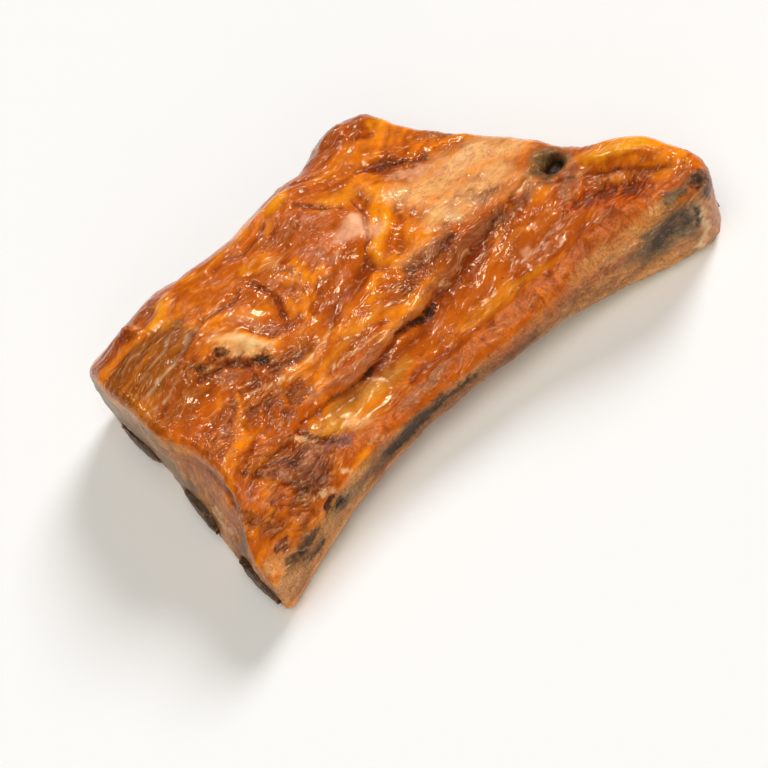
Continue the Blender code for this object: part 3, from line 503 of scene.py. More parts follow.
# Swellings and hollows of the top that are finer than its folds: height, softness and the places along
# the stroke, each with its half width.
SWELLS = [
    (0.8, 3.0, [(-48, -17.5, 0.6), (-30, -17.6, 1.2), (-6, -17.2, 1.5), (14, -14.8, 1.5), (36, -13, 1.2),
        (52, -9, 0.5)]),
    (-1.1, 1.8, [(-50, -22, 0.1), (-30, -21, 0.4), (-6, -21, 0.5), (14, -18.6, 0.4), (36, -16.6, 0.3),
        (52, -12.6, 0.1)]),
    (1.3, 5.0, [(-50, -36.5, 1.2), (-20, -36, 2), (10, -38, 2.5), (40, -42.5, 3), (64, -47, 3)]),
    (-1.1, 5.0, [(-52, -3, 1.5), (-33, -5, 2), (-18, -3.4, 2.5), (-2, -0.5, 2), (6, -9, 1.5), (22, -12, 1)]),
    (0.35, 4.0, [(18, 27, 1), (18, 17, 1.6), (12, 8, 1.6), (6, 3.4, 1.4), (1.6, -0.6, 1), (-6, -6, 0.5)]),
    (0.35, 4.0, [(13, 10, 1), (18, 14, 1.4), (22, 20, 1)]),
    (-0.6, 2.0, [(11, 22, 0.4), (11, 15, 0.6), (6, 8, 0.5), (-1, 1.4, 0.3)]),
    (1.0, 4.0, [(-64, 12, 1), (-56, 13.5, 2), (-50, 14, 2.4), (-44, 9, 2.4), (-40, 2, 1.4)]),
    (-1.0, 3.0, [(-62, 9, 0.8), (-54, 7.5, 1.2), (-48, 2, 1.4), (-44, -3, 1)]),
    (-0.8, 2.4, [(-64, 20, 0.5), (-55, 23, 1.0), (-48, 26, 1.0), (-40, 22, 0.8), (-34, 24, 0.5)]),
    (1.0, 3.0, [(-66, 44, 1.6), (-64.5, 39, 1.2)]),
    (0.8, 4.0, [(-60, 36.5, 1.6), (-56, 37.5, 3), (-51, 41, 2)]),
    (0.8, 4.0, [(-38, 17, 2), (-35, 9, 2.4)]),
    (-0.7, 2.4, [(-30, 22, 1), (-29, 14, 1), (-30, 7, 0.8)]),
    (0.7, 4.0, [(-22, 17, 2.4), (-18, 10, 2)]),
    (0.7, 4.0, [(-8, 19, 2.6), (-5, 11, 2)]),
    (-0.8, 2.4, [(-2, 34, 0.5), (2, 28, 1.0), (6, 21, 0.6)]),
    (-0.9, 3.0, [(-34, 37, 1), (-24, 33, 1.4), (-14, 36, 1)]),
    (0.8, 3.0, [(-15, 40, 1.2), (-5, 41, 1.8), (6, 38, 1.6), (16, 36, 1)]),
    (0.5, 2.6, [(22, 34, 1), (28, 31.6, 1.8), (35, 28, 1.2)]),
    (-0.5, 1.8, [(20, 31.4, 0.3), (26, 28.4, 0.6), (32, 25.6, 0.7), (40, 20, 0.4)]),
    (0.9, 4.0, [(20, 48, 2), (30, 49, 3), (37, 45, 2)]),
    (-0.7, 3.0, [(14, 42, 1), (24, 42.5, 1.4), (34, 39, 1)]),
    (0.7, 4.0, [(24, -2, 2), (30, -7, 2.4), (40, -4, 2.6)]),
    (0.8, 4.0, [(4, -6, 1.5), (13, -8, 2.4), (24, -10, 1.4)]),
    (1.0, 4.0, [(-82, -22, 1), (-72, -18, 2), (-64, -11, 2), (-59, -3, 1)]),
    (0.9, 3.6, [(-80, -33, 2), (-72, -31, 2.4)]),
    (-0.9, 2.4, [(-77, -27, 0.6), (-70, -25, 1), (-60, -23, 0.8)]),
    (0.9, 3.6, [(-66, -31, 2), (-58, -33, 2.4)]),
    (0.6, 5.0, [(-46, -27, 2), (-36, -28, 3), (-26, -26, 1.6)]),
    (-0.9, 3.0, [(-53, -24, 0.8), (-49, -30, 1.2), (-46, -36, 0.8)]),
    (0.7, 2.4, [(-69, -25, 0.6), (-64, -27, 0.9), (-58, -26, 0.7)]),
    (0.7, 2.4, [(-68, -30, 0.6), (-62, -31.6, 0.9), (-56, -30, 0.7)]),
    (0.7, 2.4, [(-69, -35, 0.6), (-62, -36, 0.9), (-55, -34.6, 0.7)]),
    (-0.7, 2.0, [(-69, -28, 0.2), (-62, -29.4, 0.4), (-55, -28, 0.2)]),
    (-0.7, 2.0, [(-68, -33, 0.2), (-61, -34, 0.4), (-54, -32.4, 0.2)]),
    (0.6, 2.4, [(-84, -26, 0.6), (-82, -31, 1.0), (-78, -36, 0.8)]),
    (-0.6, 2.0, [(-80, -25, 0.3), (-77, -30, 0.5), (-74, -36, 0.3)]),
    (0.6, 2.4, [(-76, -24, 0.6), (-73, -29, 0.9), (-70, -35, 0.7)]),
    (0.8, 3.0, [(70, -27, 1.6), (76, -33, 2), (83, -42, 1.6)]),
    (-0.6, 1.8, [(65, -28, 0.3), (69, -32, 0.6), (75, -39.6, 0.6), (81, -46, 0.3)]),
    (-1.3, 4.0, [(55, -31, 1.5), (63, -36, 2.4), (71, -43.5, 1.6)]),
    (1.0, 4.0, [(50, -45, 1.5), (60, -48, 2), (70, -50, 2)]),
]
# Marks on the near side, along the rack and up from the table.
NEAR_MARKS = [
    ("tan", 4, 0.9, 0, 0.2, [(-88, 14, 8), (-66, 13, 7), (-52, 12, 5)]),
    ("olive", 2.5, 0.8, 0, 0.5, [(-80, 17, 2.4), (-66, 17, 3), (-52, 14, 3)]),
    ("soot", 2.4, 0.9, -0.2, 0.3, [(-84, 15, 1.6), (-78, 12, 2.4), (-71, 11, 2)]),
    ("char", 2.2, 0.6, -0.2, 0.0, [(-82, 15, 1.6), (-76, 12, 2), (-70, 10, 1.2)]),
    ("soot", 2.5, 0.8, -0.4, 0.2, [(-65, 17.5, 2.2), (-57, 15, 2.4)]),
    ("char", 1.6, 0.9, -1.2, 0.0, [(-63, 17.5, 1.2), (-59, 16, 1.6)]),
    ("husk", 4, 0.9, 0, 0.3, [(-44, 14, 5), (-26, 15, 6), (-8, 15, 5), (14, 15, 4)]),
    ("soot", 2.4, 0.95, -0.1, 0.3, [(-38, 15, 2.4), (-28, 17, 3), (-16, 17, 2.4)]),
    ("char", 2, 0.7, -0.2, 0.0, [(-37, 14, 2), (-26, 16, 2.6), (-15, 17, 1.8), (-3, 16, 1.2)]),
    ("tan", 4, 0.9, 0, 0.2, [(24, 12, 5), (44, 12, 7), (60, 10, 6), (70, 8, 5)]),
    ("bark", 2, 0.6, 0, 0.6, [(24, 17, 1.4), (40, 20, 1.8), (56, 19, 1.6)]),
    ("husk", 2.4, 0.7, 0, 0.5, [(34, 8, 1.6), (50, 9, 2), (62, 12, 1.4)]),
    ("crest", 2, 0.6, 0.1, 0.7, [(4, 18, 2.4), (24, 19, 3), (44, 20, 3), (58, 20, 2.4)]),
    ("bark", 2, 0.55, 0, 0.7, [(10, 12, 2.4), (30, 13, 3), (46, 14, 3)]),
    ("olive", 2, 0.5, 0, 0.7, [(60, 15, 2.4), (66, 14, 3), (73, 12, 3)]),
    ("olive", 2.4, 0.7, 0, 0.4, [(58, 17, 4), (66, 19, 7), (74, 23, 6.4)]),
    ("slate", 2.4, 1.0, 0.2, 0.2, [(61, 16.6, 3), (66, 20, 6.2), (72.6, 24.4, 6), (75, 17, 4)]),
    ("soot", 2.0, 0.8, 0, 0.4, [(65, 18, 2), (70, 22, 2.6), (74, 27, 2)]),
    ("husk", 2.0, 0.6, 0, 0.7, [(64, 20, 2), (69, 24, 2.6), (75, 22, 2.4)]),
    ("char", 2.4, 0.62, -0.2, 0.2, [(63, 17, 2), (68, 20, 3.4), (73, 25.6, 3), (75, 19, 2)]),
    ("char", 1.6, 0.9, -0.4, 0.0, [(78, 25, 0.4), (78, 19.6, 0.8), (77, 15, 0.4)]),
    ("sinew", 2.4, 0.9, 0.2, 0.0, [(80.4, 20, 1.0), (79.6, 13, 1.5), (78, 5, 1.4)]),
    ("muscle", 2.4, 0.95, 0.1, 0.0, [(85, 18, 3), (85.4, 9, 4)]),
    ("rust", 2, 0.6, 0.1, 0.4, [(82, 14, 1.2), (86, 9, 1.6)]),
    ("amber", 2, 0.8, 0.15, 0.1, [(-92, 3, 1.6), (-60, 5, 1.6), (-30, 8.5, 1.4), (0, 9, 1.2), (30, 7, 1.0)]),
    ("bark", 2.4, 0.95, 0.2, 0.0, [(80, 28, 2), (84, 26, 3.4), (88, 23, 3)]),
    ("char", 2.4, 0.75, 0.2, 0.0, [(81, 28, 1.6), (84.6, 26, 2.8), (88, 23, 2.2)]),
]
# Marks on the front end, across the rack and up from the table.
FRONT_MARKS = [
    ("muscle", 3, 0.95, 0.05, 0.0, [(-24, 24, 6), (-14, 24, 8), (-4, 24, 7)]),
    ("cream", 1.6, 0.85, 0.1, 0.1, [(-26, 16, 2), (-20, 14.5, 3), (-13, 14, 1.6)]),
    ("olive", 1.8, 0.9, -0.15, 0.1, [(-31, 21, 1.4), (-31, 13, 2.2), (-30, 6, 2.2)]),
    ("soot", 1.6, 0.6, 0, 0.2, [(10, 16, 1.8), (20, 15, 1.6), (30, 17, 1.8)]),
    ("olive", 4, 0.7, 0, 0.2, [(4, 14, 4), (20, 19, 5), (36, 20, 6)]),
    ("amber", 1.2, 0.8, 0.15, 0.0, [(12, 20, 0.8), (16, 20.6, 0.6)]),
    ("rust", 3, 0.6, 0.05, 0.3, [(-28, 27, 1.6), (-14, 29, 1.8), (0, 28, 2.4), (16, 29, 2.4), (30, 27, 2)]),
    ("rust", 1.6, 0.9, 0.15, 0.1, [(-16, 3, 1.4), (8, 4, 1.4), (18, 3, 1.2)]),
    ("bark", 2.4, 0.8, 0, 0.5, [(-45, 8, 6.6), (-31, 8, 6.6)]),
    ("bark", 2.4, 0.8, 0, 0.5, [(-12, 8, 6.6), (2, 8, 6.6)]),
    ("bark", 2.4, 0.8, 0, 0.5, [(23, 8, 6.6), (37, 8, 6.6)]),
    ("amber", 2, 0.7, 0.15, 0.3, [(-50, 3, 3), (-42, 10, 3), (-36, 14, 2)]),
    ("rust", 1.6, 0.7, 0.1, 0.3, [(-44, 5, 1.4), (-38, 6, 2)]),
]
# Marks on the back end, across the rack and up from the table.
BACK_MARKS = [
    ("muscle", 4, 0.9, 0.05, 0.1, [(-40, 22, 6), (-20, 22, 6), (6, 24, 7), (24, 26, 6)]),
    ("butter", 3.0, 0.7, 0.15, 0.3, [(-52, 18, 0.8), (-38, 16, 1.6), (-22, 18.6, 2.4), (-8, 18, 1.4),
        (10, 20, 2.2), (26, 17.6, 1.6), (42, 20, 1.0)]),
    ("cream", 1.6, 0.5, 0.15, 0.0, [(-40, 16.6, 0.8), (-24, 18.4, 1.6), (-12, 18, 0.8)]),
    ("cream", 1.6, 0.5, 0.15, 0.0, [(2, 19.6, 0.8), (14, 19.4, 1.6), (28, 18, 0.8)]),
    ("mauve", 2.4, 0.7, 0, 0.3, [(-32, 26, 2), (-14, 25, 2.6), (16, 30, 2.6)]),
    ("tan", 2.4, 0.8, 0.05, 0.2, [(-50, 8, 3), (-22, 7, 3), (8, 7, 3), (44, 7, 3)]),
    ("muscle", 4, 0.9, 0.05, 0.1, [(-57, 14, 7)]),
    ("bark", 2.4, 0.75, 0, 0.6, [(-49, 7, 6), (-38, 7, 6)]),
    ("bark", 2.4, 0.75, 0, 0.6, [(-12, 7, 6), (0, 7, 6)]),
    ("bark", 2.4, 0.75, 0, 0.6, [(23, 7, 6), (35, 7, 6)]),
    ("bark", 2.6, 0.95, 0.1, 0.0, [(-60, 24, 3.4), (-55, 27, 3.4), (-51, 29, 2)]),
    ("char", 2.4, 0.75, 0.1, 0.0, [(-60, 24, 2.2), (-55, 27, 2.6)]),
]
# Marks on the underside, along the rack and across it.
UNDER_MARKS = [
    ("membrane", 4, 0.9, 0, 0.1, [(-84, -44, 8), (80, -50, 8)]),
    ("membrane", 3, 0.9, 0, 0.1, [(-84, -20, 8), (70, -24, 8)]),
    ("membrane", 3, 0.9, 0, 0.1, [(-80, 14, 9), (56, 10, 9)]),
    ("plum", 4, 0.7, 0, 0.4, [(-60, -21, 3), (-30, -19, 4), (10, -21, 4), (50, -23, 3)]),
    ("plum", 4, 0.7, 0, 0.4, [(-66, 14, 3), (-34, 15, 4), (6, 14, 4), (40, 12, 3)]),
    ("tan", 4, 0.7, 0, 0.2, [(-84, 46, 5), (-40, 46, 4), (20, 48, 5)]),
]

# The fine mesh, and how rough it is
MEAT_FACES = (236, 150, 30)
MEAT_CROWDING = 0.22  # how much closer the faces lie towards the edges
CHANNEL_STATIONS, CHANNEL_FACETS = 24, 32
BONE_FACES = (90, 22, 14)
BONE_CROWDING = 0.6
BOX_MARGIN = 0.02  # how far the points stay inside the box of the solid
# Hollows get painted shade and ridges painted light, at two scales: rounds of averaging, and the depth that
# counts full.
HOLLOWS = ((6, 0.35), (40, 1.1))
HOLLOW_PAINTED_SHADE, RIDGE_PAINTED_LIGHT = (0.42, 0.54, 0.62), (0.16, 0.26, 0.3)


def linear(colour):
    """A colour given from 0 to 255 as light."""
    share = np.array(colour, float) / 255
    return np.where(share <= 0.04045, share / 12.92, ((share + 0.055) / 1.055) ** 2.4)


def smooth(low, high, value):
    share = np.clip((value - low) / (high - low), 0, 1)
    return share * share * (3 - 2 * share)


def mix(first, second, share):
    return first + (second - first) * share


def noise(places, size, seed):
    """Smooth noise from about -1 to 1, with lumps of the given size; size may differ by axis."""
    spot = np.asarray(places, float) / size + seed * 7.31
    cell = np.floor(spot).astype(np.int64)
    part = spot - cell
    ease = part**3 * (part * (part * 6 - 15) + 10)
    total = np.zeros(len(spot))
    for corner in itertools.product((0, 1), repeat=3):
        at = cell + corner
        key = (at[:, 0] * 73856093) ^ (at[:, 1] * 19349663) ^ (at[:, 2] * 83492791) ^ (seed * 2654435761)
        key = (key ^ (key >> 13)) * 1274126177 & 0x7FFFFFFF
        key = (key ^ (key >> 11)) * 668265263 & 0x7FFFFFFF
        turn = (key & 0xFFF) / 0xFFF * 2 * np.pi
        lift = ((key >> 12) & 0xFFF) / 0xFFF * 2 - 1
        flat = np.sqrt(1 - lift**2)
        away = part - corner
        pull = away[:, 0] * flat * np.cos(turn) + away[:, 1] * flat * np.sin(turn) + away[:, 2] * lift
        weight = np.prod([e if c else 1 - e for e, c in zip(ease.T, corner)], axis=0)
        total += weight * pull
    return total * 1.6


def turned(places, degrees):
    """The same places, turned about the upright axis."""
    angle = math.radians(degrees)
    x, y, z = places.T
    cosine, sine = math.cos(angle), math.sin(angle)
    return np.stack([x * cosine + y * sine, y * cosine - x * sine, z], 1)


def slab_points(cube):
    """Carries the points of a cube's surface, each coordinate from -1 to 1, onto the slab of meat."""
    share = (cube + 1) / 2
    along, across = (share - MEAT_CROWDING * np.sin(2 * np.pi * share) / (2 * np.pi)).T[:2]
    up = share[:, 2]
    edges = [
        (along * LENGTH, ROUND_FRONT),
        ((1 - along) * LENGTH, ROUND_BACK),
        (across * WIDTH, ROUND_NEAR),
        ((1 - across) * WIDTH, ROUND_FAR),
    ]
    x, y = plan(*corners_rounded(along, across)).T
    top = top_height(x, y, along, across) - rounding(edges)
    under = under_height(x, y) + rounding([(gap, ROUND_UNDER) for gap, _ in edges])
    return np.stack([x + front_lean(x, y, up), y, under + (top - under) * up], axis=1)


def grid_cube(bm, counts):
    """A cube from -1 to 1 whose faces are grids, with the given number of faces along each axis."""
    bmesh.ops.create_cube(bm, size=2.0)
    for axis, count in enumerate(counts):
        edges = [e for e in bm.edges if abs(e.verts[0].co[axis] - e.verts[1].co[axis]) > 1.0]
        bmesh.ops.subdivide_edges(bm, edges=edges, cuts=count - 1, use_grid_fill=True)


def stroke_gap(u, v, places):
    """How far places are outside a stroke whose half width changes along it; negative inside."""
    places = np.array(places, float)
    best = np.full(u.shape, np.inf)
    for (u0, v0, w0), (u1, v1, w1) in zip(places[:-1], places[1:]):
        du, dv = u1 - u0, v1 - v0
        run = np.clip(((u - u0) * du + (v - v0) * dv) / (du * du + dv * dv), 0, 1)
        gap = np.hypot(u - u0 - run * du, v - v0 - run * dv) - mix(w0, w1, run)
        best = np.minimum(best, gap)
    return best


def lay_marks(look, feathered, gentle, axes, marks, weight, ragged):
    """Lays marks onto a look, one row a point: colour, six finishes, lift and three covers."""
    for tone, soft, amount, lift, rag, places in marks:
        u, v = (gentle if tone in COVERS else feathered)[:, axes].T
        gap = stroke_gap(u, v, places)
        share = amount * smooth(soft, -soft, gap * 2) * weight
        if tone in COVERS:
            column = FIRST_COVER + COVERS.index(tone)
            look[:, column] = np.maximum(look[:, column], share)
        else:
            colour, *finish = TONES[tone]
            share = share * (1 - rag * smooth(-0.15, 0.35, ragged))
            new = np.concatenate([linear(colour), finish])
            look[:, : len(new)] += (new - look[:, : len(new)]) * share[:, None]
        look[:, LIFT] += lift * share


def tone_row(name):
    colour, *finish = TONES[name]
    return np.concatenate([linear(colour), finish, [0.0] * (1 + len(COVERS))])


def blend_tones(low, high, share):
    return mix(tone_row(low), tone_row(high), share[:, None])


def side_weights(normals):
    """How much each place belongs to the top, the underside and the four sides."""
    nx, ny, nz = normals.T
    top, under = smooth(0.2, 0.55, nz), smooth(0.45, 0.75, -nz)
    sides = np.stack([np.clip(n, 0, 1) ** 2 for n in (-ny, ny, -nx, nx)])
    sides = sides / np.maximum(sides.sum(axis=0), 1e-6) * (1 - top - under)
    return (top, under, *sides)


def flow_noise(places, sizes, seed):
    """Noise drawn out along the grain of the meat, which runs at a slant along the rack and bends."""
    bend = np.stack([noise(places, 30, 38), noise(places, 30, 39), noise(places, 30, 40)], 1) * 9
    return noise(turned(places, 13) + bend, sizes, seed)


def meat_look(places, normals):
    """The colour, finish and lift of the meat at places on its surface."""
    drift = np.stack([noise(places, 9, 11), noise(places, 9, 12), noise(places, 9, 13)], 1) * 1.5
    feather = flow_noise(places, (12, 3.2, 3.2), 14) + 0.5 * flow_noise(places, (7, 2.0, 2.2), 15)
    gentle = places + drift
    feathered = gentle + feather[:, None] * [3.0, 0.6, 0.3]
    streaks = flow_noise(places, (11, 2.4, 3.4), 21) + 0.5 * flow_noise(places, (7, 1.9, 2.2), 22)
    blots = noise(places, 3.2, 23) + 0.6 * noise(places, 1.7, 24)
    broad = flow_noise(places, (26, 11, 11), 25) + 0.5 * flow_noise(places, (11, 5, 5), 26)
    top, under, near, far, front, back = side_weights(normals)

    look = blend_tones("glaze", "amber", smooth(0.0, 0.7, broad + 0.6 * streaks))
    look = mix(look, tone_row("rust"), (0.52 * smooth(0.1, 0.9, -streaks - 0.5 * broad))[:, None])
    for weight, low, high in [
        (near, "tan", "husk"),
        (far, "rust", "bark"),
        (front, "tan", "olive"),
        (back, "rust", "muscle"),
        (under, "membrane", "tan"),
    ]:
        look = mix(look, blend_tones(low, high, smooth(-0.4, 0.5, broad + 0.5 * blots)), weight[:, None])
    sheen, char = FIRST_COVER, FIRST_COVER + 2
    # a faint pinkish sheen over the top, painted as reflection
    look[:, sheen] = 0.12 * smooth(-0.1, 0.7, noise(places, 11, 27) + 0.4 * streaks) * top
    look[:, char] = 0.02 + 0.12 * near + 0.1 * (front + far + back)
    ragged = 0.6 * streaks + 0.6 * blots
    for axes, marks, weight in [
        ([0, 1], TOP_MARKS, top),
        ([0, 2], NEAR_MARKS, near),
        ([1, 2], FRONT_MARKS, front),
        ([1, 2], BACK_MARKS, back),
        ([0, 1], UNDER_MARKS, under),
    ]:
        lay_marks(look, feathered, gentle, axes, marks, weight, ragged)
    uneven = 1 + 0.6 * noise(places, 7, 28)
    for height, soft, stroke in SWELLS:
        gap = stroke_gap(gentle[:, 0], gentle[:, 1], stroke)
        look[:, LIFT] += height * uneven * smooth(soft, -soft, gap * 2) * top
    return look


def meat_relief(places, look):
    """How far the surface stands out of the smooth form."""
    _, along, across, wrinkle, pores, _, lift = look[:, WET : LIFT + 1].T
    bundles = 0.45 * (1 - 2 * np.abs(flow_noise(places, (34, 9, 10), 31))) * (0.4 + along)
    strands = 0.45 - np.abs(flow_noise(places, (14, 2.8, 3.4), 32)) * 1.5
    cross = noise(turned(places, -28), (2.0, 7, 5), 33) + 0.5 * noise(turned(places, -40), (1.5, 4, 3), 34)
    folds = np.abs(flow_noise(places, (7, 3.0, 3.6), 36))
    folds = folds + 0.4 * np.abs(flow_noise(places, (3.6, 1.7, 2.0), 37))
    lumps = noise(places, 9, 35) * 0.4
    relief = lumps + lift + bundles + (0.05 + 0.35 * along) * strands + 0.5 * across * cross
    return relief + 1.15 * wrinkle * (folds - 0.35) + 0.2 * pores * noise(places, 1.9, 41)


def depth_below(mesh, places, normals, rounds):
    """How far each point lies below the average of those around it; rounds sets how far around."""
    ends = np.empty(len(mesh.edges) * 2, np.int32)
    mesh.edges.foreach_get("vertices", ends)
    ends = ends.reshape(-1, 2)
    both = np.concatenate([ends, ends[:, ::-1]])
    count = np.bincount(both[:, 0], minlength=len(places))[:, None]
    level = places
    for _ in range(rounds):
        total = [np.bincount(both[:, 0], level[both[:, 1], axis], len(places)) for axis in range(3)]
        level = np.stack(total, 1) / np.maximum(count, 1)
    return ((level - places) * normals).sum(axis=1)


def add_attribute(mesh, name, values):
    layer = mesh.attributes.new(name, "FLOAT_COLOR", "POINT")
    layer.data.foreach_set("color", np.clip(values, 0, 1).astype(np.float32).ravel())


def add_look(mesh, look):
    """Stores a look as three attributes of four numbers, which the materials read."""
    add_attribute(mesh, "tone", look[:, : WET + 1])
    add_attribute(mesh, "finish", look[:, WET + 1 : VEINS])
    add_attribute(mesh, "cover", np.column_stack([look[:, FIRST_COVER:], look[:, VEINS]]))


def read_points(mesh, what="co"):
    values = np.empty(len(mesh.vertices) * 3, np.float32)
    if what == "co":
        mesh.vertices.foreach_get("co", values)
        return values.reshape(-1, 3).astype(float) / MM
    mesh.vertex_normals.foreach_get("vector", values)
    return values.reshape(-1, 3).astype(float)


def write_points(mesh, places):
    mesh.vertices.foreach_set("co", (places * MM).astype(np.float32).ravel())
    mesh.update()


def inside_box(places, node_box):
    low, high = (np.array(corner) / MM for corner in node_box)
    return np.clip(places, low + [BOX_MARGIN, BOX_MARGIN, 0.0], high - BOX_MARGIN)


def add_object(name, mesh, material):
    mesh.materials.clear()
    mesh.materials.append(material)
    mesh.shade_smooth()
    made = bpy.data.objects.new(name, mesh)
    bpy.context.scene.collection.objects.link(made)
    return made


def end_lines(y):
    """How far along the front end and the back end of the slab are, at a place across it."""
    shares = np.linspace(0, 1, 60)
    front, back = smooth_through(FRONT_END, shares), smooth_through(BACK_END, shares)
    return np.interp(y, front[:, 1], front[:, 0]), np.interp(y, back[:, 1], back[:, 0])


def bone_points(share, side, height, line, grow, past):
    """Carries places on a bar, its cross-section within a unit disc, onto a bone along the given line."""
    reach = np.clip(share, 0, 1)
    half_width = BONE_WIDTH / 2 * (1 + BONE_SWELL * (1 - reach) ** 2)
    front = end_lines(line[0] + side * BONE_WIDTH / 2)[0] - BONE_STANDS_OUT
    back = end_lines(line[2] + side * BONE_WIDTH / 2)[1] + BONE_STANDS_OUT
    x = mix(front, back, reach)
    middle = bone_line(x, line)
    z = under_height(x, middle) + BONE_COVER + BONE_HEIGHT / 2 + height * (BONE_HEIGHT / 2 + grow)
    return np.stack([x + past * np.sign(share - reach), middle + side * (half_width + grow), z], 1)


def make_channel(line):
    """The channel that a bone lies in, a little wider than the bone and longer."""
    bm = bmesh.new()
    ring = bmesh.ops.create_circle(bm, segments=CHANNEL_FACETS, radius=1.0, cap_ends=True)["verts"]
    bmesh.ops.rotate(bm, verts=ring, matrix=Matrix.Rotation(math.radians(90), 3, "Y"))
    bmesh.ops.translate(bm, verts=ring, vec=(-1, 0, 0))
    end_cap = bm.faces[:]
    for station in range(-1, CHANNEL_STATIONS + 1):
        grown = bmesh.ops.extrude_face_region(bm, geom=end_cap)["geom"]
        if station > -1:
            bmesh.ops.delete(bm, geom=end_cap, context="FACES_ONLY")
        moved = [g for g in grown if isinstance(g, bmesh.types.BMVert)]
        bmesh.ops.translate(bm, verts=moved, vec=(1, 0, 0))
        end_cap = [g for g in grown if isinstance(g, bmesh.types.BMFace)]
    bar = np.array([v.co for v in bm.verts])
    share = np.round(bar[:, 0]) / CHANNEL_STATIONS
    walls = bone_points(share, bar[:, 1], bar[:, 2], line, BONE_GAP, CHANNEL_PAST)
    for vertex, place in zip(bm.verts, walls):
        vertex.co = place * MM
    bmesh.ops.recalc_face_normals(bm, faces=bm.faces[:])
    mesh = bpy.data.meshes.new("channel")
    bm.to_mesh(mesh)
    bm.free()
    return bpy.data.objects.new("channel", mesh)


def make_meat(material):
    bm = bmesh.new()
    grid_cube(bm, MEAT_FACES)
    mesh = bpy.data.meshes.new("meat_form")
    bm.to_mesh(mesh)
    bm.free()
    write_points(mesh, slab_points(read_points(mesh) * MM))
    form = bpy.data.objects.new("meat_form", mesh)
    bpy.context.scene.collection.objects.link(form)
    channels = [make_channel(line) for line in BONE_LINES]
    for channel in channels:
        bpy.context.scene.collection.objects.link(channel)
        cut = form.modifiers.new("channel", "BOOLEAN")
        cut.operation = "DIFFERENCE"
        cut.object = channel
    graph = bpy.context.evaluated_depsgraph_get()
    smoked = bpy.data.meshes.new_from_object(form.evaluated_get(graph))
    for helper in [form, *channels]:
        bpy.data.objects.remove(helper)
    smoked.name = "smoked_meat"

    places, normals = read_points(smoked), read_points(smoked, "normal")
    look = meat_look(places, normals)
    in_channel = channel_share(places)
    relief = meat_relief(places, look) * (1 - in_channel)
    write_points(smoked, inside_box(places + normals * relief[:, None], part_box("meat")))
    places, normals = read_points(smoked), read_points(smoked, "normal")
    # painted shade in the hollows and painted light on the ridges, worked into the colour
    sunk = sum(depth_below(smoked, places, normals, rounds) / depth for rounds, depth in HOLLOWS)
    sunk = np.clip(sunk, -1.2, 1.2)[:, None] * (1 - in_channel)[:, None]
    look[:, :3] *= 1 - sunk * np.where(sunk > 0, HOLLOW_PAINTED_SHADE, RIDGE_PAINTED_LIGHT)
    add_look(smoked, look)
    return add_object("smoked_meat", smoked, material)


def channel_share(places):
    """1 in the walls of the bones' channels and 0 away from them."""
    x, y, z = places.T
    share = np.zeros(len(places))
    for line in BONE_LINES:
        middle = bone_line(x, line)
        reach = np.clip(x / LENGTH + 0.5, 0, 1)
        half_width = BONE_WIDTH / 2 * (1 + BONE_SWELL * (1 - reach) ** 2) + BONE_GAP
        rise = z - (under_height(x, middle) + BONE_COVER + BONE_HEIGHT / 2)
        from_axis = np.hypot((y - middle) / half_width, rise / (BONE_HEIGHT / 2 + BONE_GAP))
        share = np.maximum(share, smooth(1.12, 1.02, from_axis))
    return share


def make_bone(name, line, seed, material):
    """A rib bone: a flattened bar with rough sawn ends, charred where it stands out of the meat."""
    bm = bmesh.new()
    grid_cube(bm, BONE_FACES)
    mesh = bpy.data.meshes.new(name)
    bm.to_mesh(mesh)
    bm.free()
    along, side, height = (read_points(mesh) * MM).T
    share = (along + 1) / 2
    share = share - BONE_CROWDING * np.sin(2 * np.pi * share) / (2 * np.pi)
    square, upright = side, height
    side = square * np.sqrt(1 - upright**2 / 2)
    height = upright * np.sqrt(1 - square**2 / 2)
    places = bone_points(share, side, height, line, 0.0, 0.0)
    write_points(mesh, places)
    normals = read_points(mesh, "normal")
    from_end = np.minimum(share, 1 - share) * LENGTH
    rough = smooth(9, 3, from_end)
    bump = noise(places, 3.2, seed) * 0.5 + noise(places, 1.4, seed + 1) * 0.25
    rim = np.hypot(side, height)
    facing = np.abs(normals[:, 0])
    relief = rough * (bump * 0.6 - 0.25) * mix(0.5, 1.0, facing)
    worn = 0.5 + 0.6 * smooth(-0.3, 0.5, noise(places, 4, seed + 5))
    relief = relief - rough * worn * smooth(0.6, 1.0, rim) * facing
    relief = relief - rough * 0.9 * smooth(0.0, 0.6, noise(places, 5, seed + 6)) * (1 - facing)
    look = blend_tones("soot", "coal", smooth(-0.4, 0.5, noise(places, 2.2, seed + 2) + 0.6 * bump))
    edge = smooth(0.78, 1.0, rim + 0.12 * noise(places, 3, seed + 3)) * facing
    look = mix(look, tone_row("rust"), (0.8 * edge)[:, None])
    tanned = 0.45 * smooth(0.1, 0.7, noise(places, 1.1, seed + 4)) * facing
    look = mix(look, tone_row("tan"), tanned[:, None])
    look = mix(look, tone_row("membrane"), (1 - rough)[:, None])
    write_points(mesh, inside_box(places + normals * relief[:, None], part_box(name)))
    add_look(mesh, look)
    return add_object("sawn_" + name, mesh, material)


# ---- Materials ----------------------------------------------------------------------------------------


def new_group(name, inputs, outputs):
    group = bpy.data.node_groups.new(name, "ShaderNodeTree")
    for label, kind, value in inputs:
        socket = group.interface.new_socket(label, in_out="INPUT", socket_type=kind)
        if value is not None:
            socket.default_value = value
    for label, kind in outputs:
        group.interface.new_socket(label, in_out="OUTPUT", socket_type=kind)
    return group, group.nodes.new("NodeGroupInput"), group.nodes.new("NodeGroupOutput")


def math_node(tree, operation, *values, clamp=False):
    node = tree.nodes.new("ShaderNodeMath")
    node.operation = operation
    node.use_clamp = clamp
    for socket, value in zip(node.inputs, values):
        if isinstance(value, bpy.types.NodeSocket):
            tree.links.new(value, socket)
        else:
            socket.default_value = value
    return node.outputs[0]


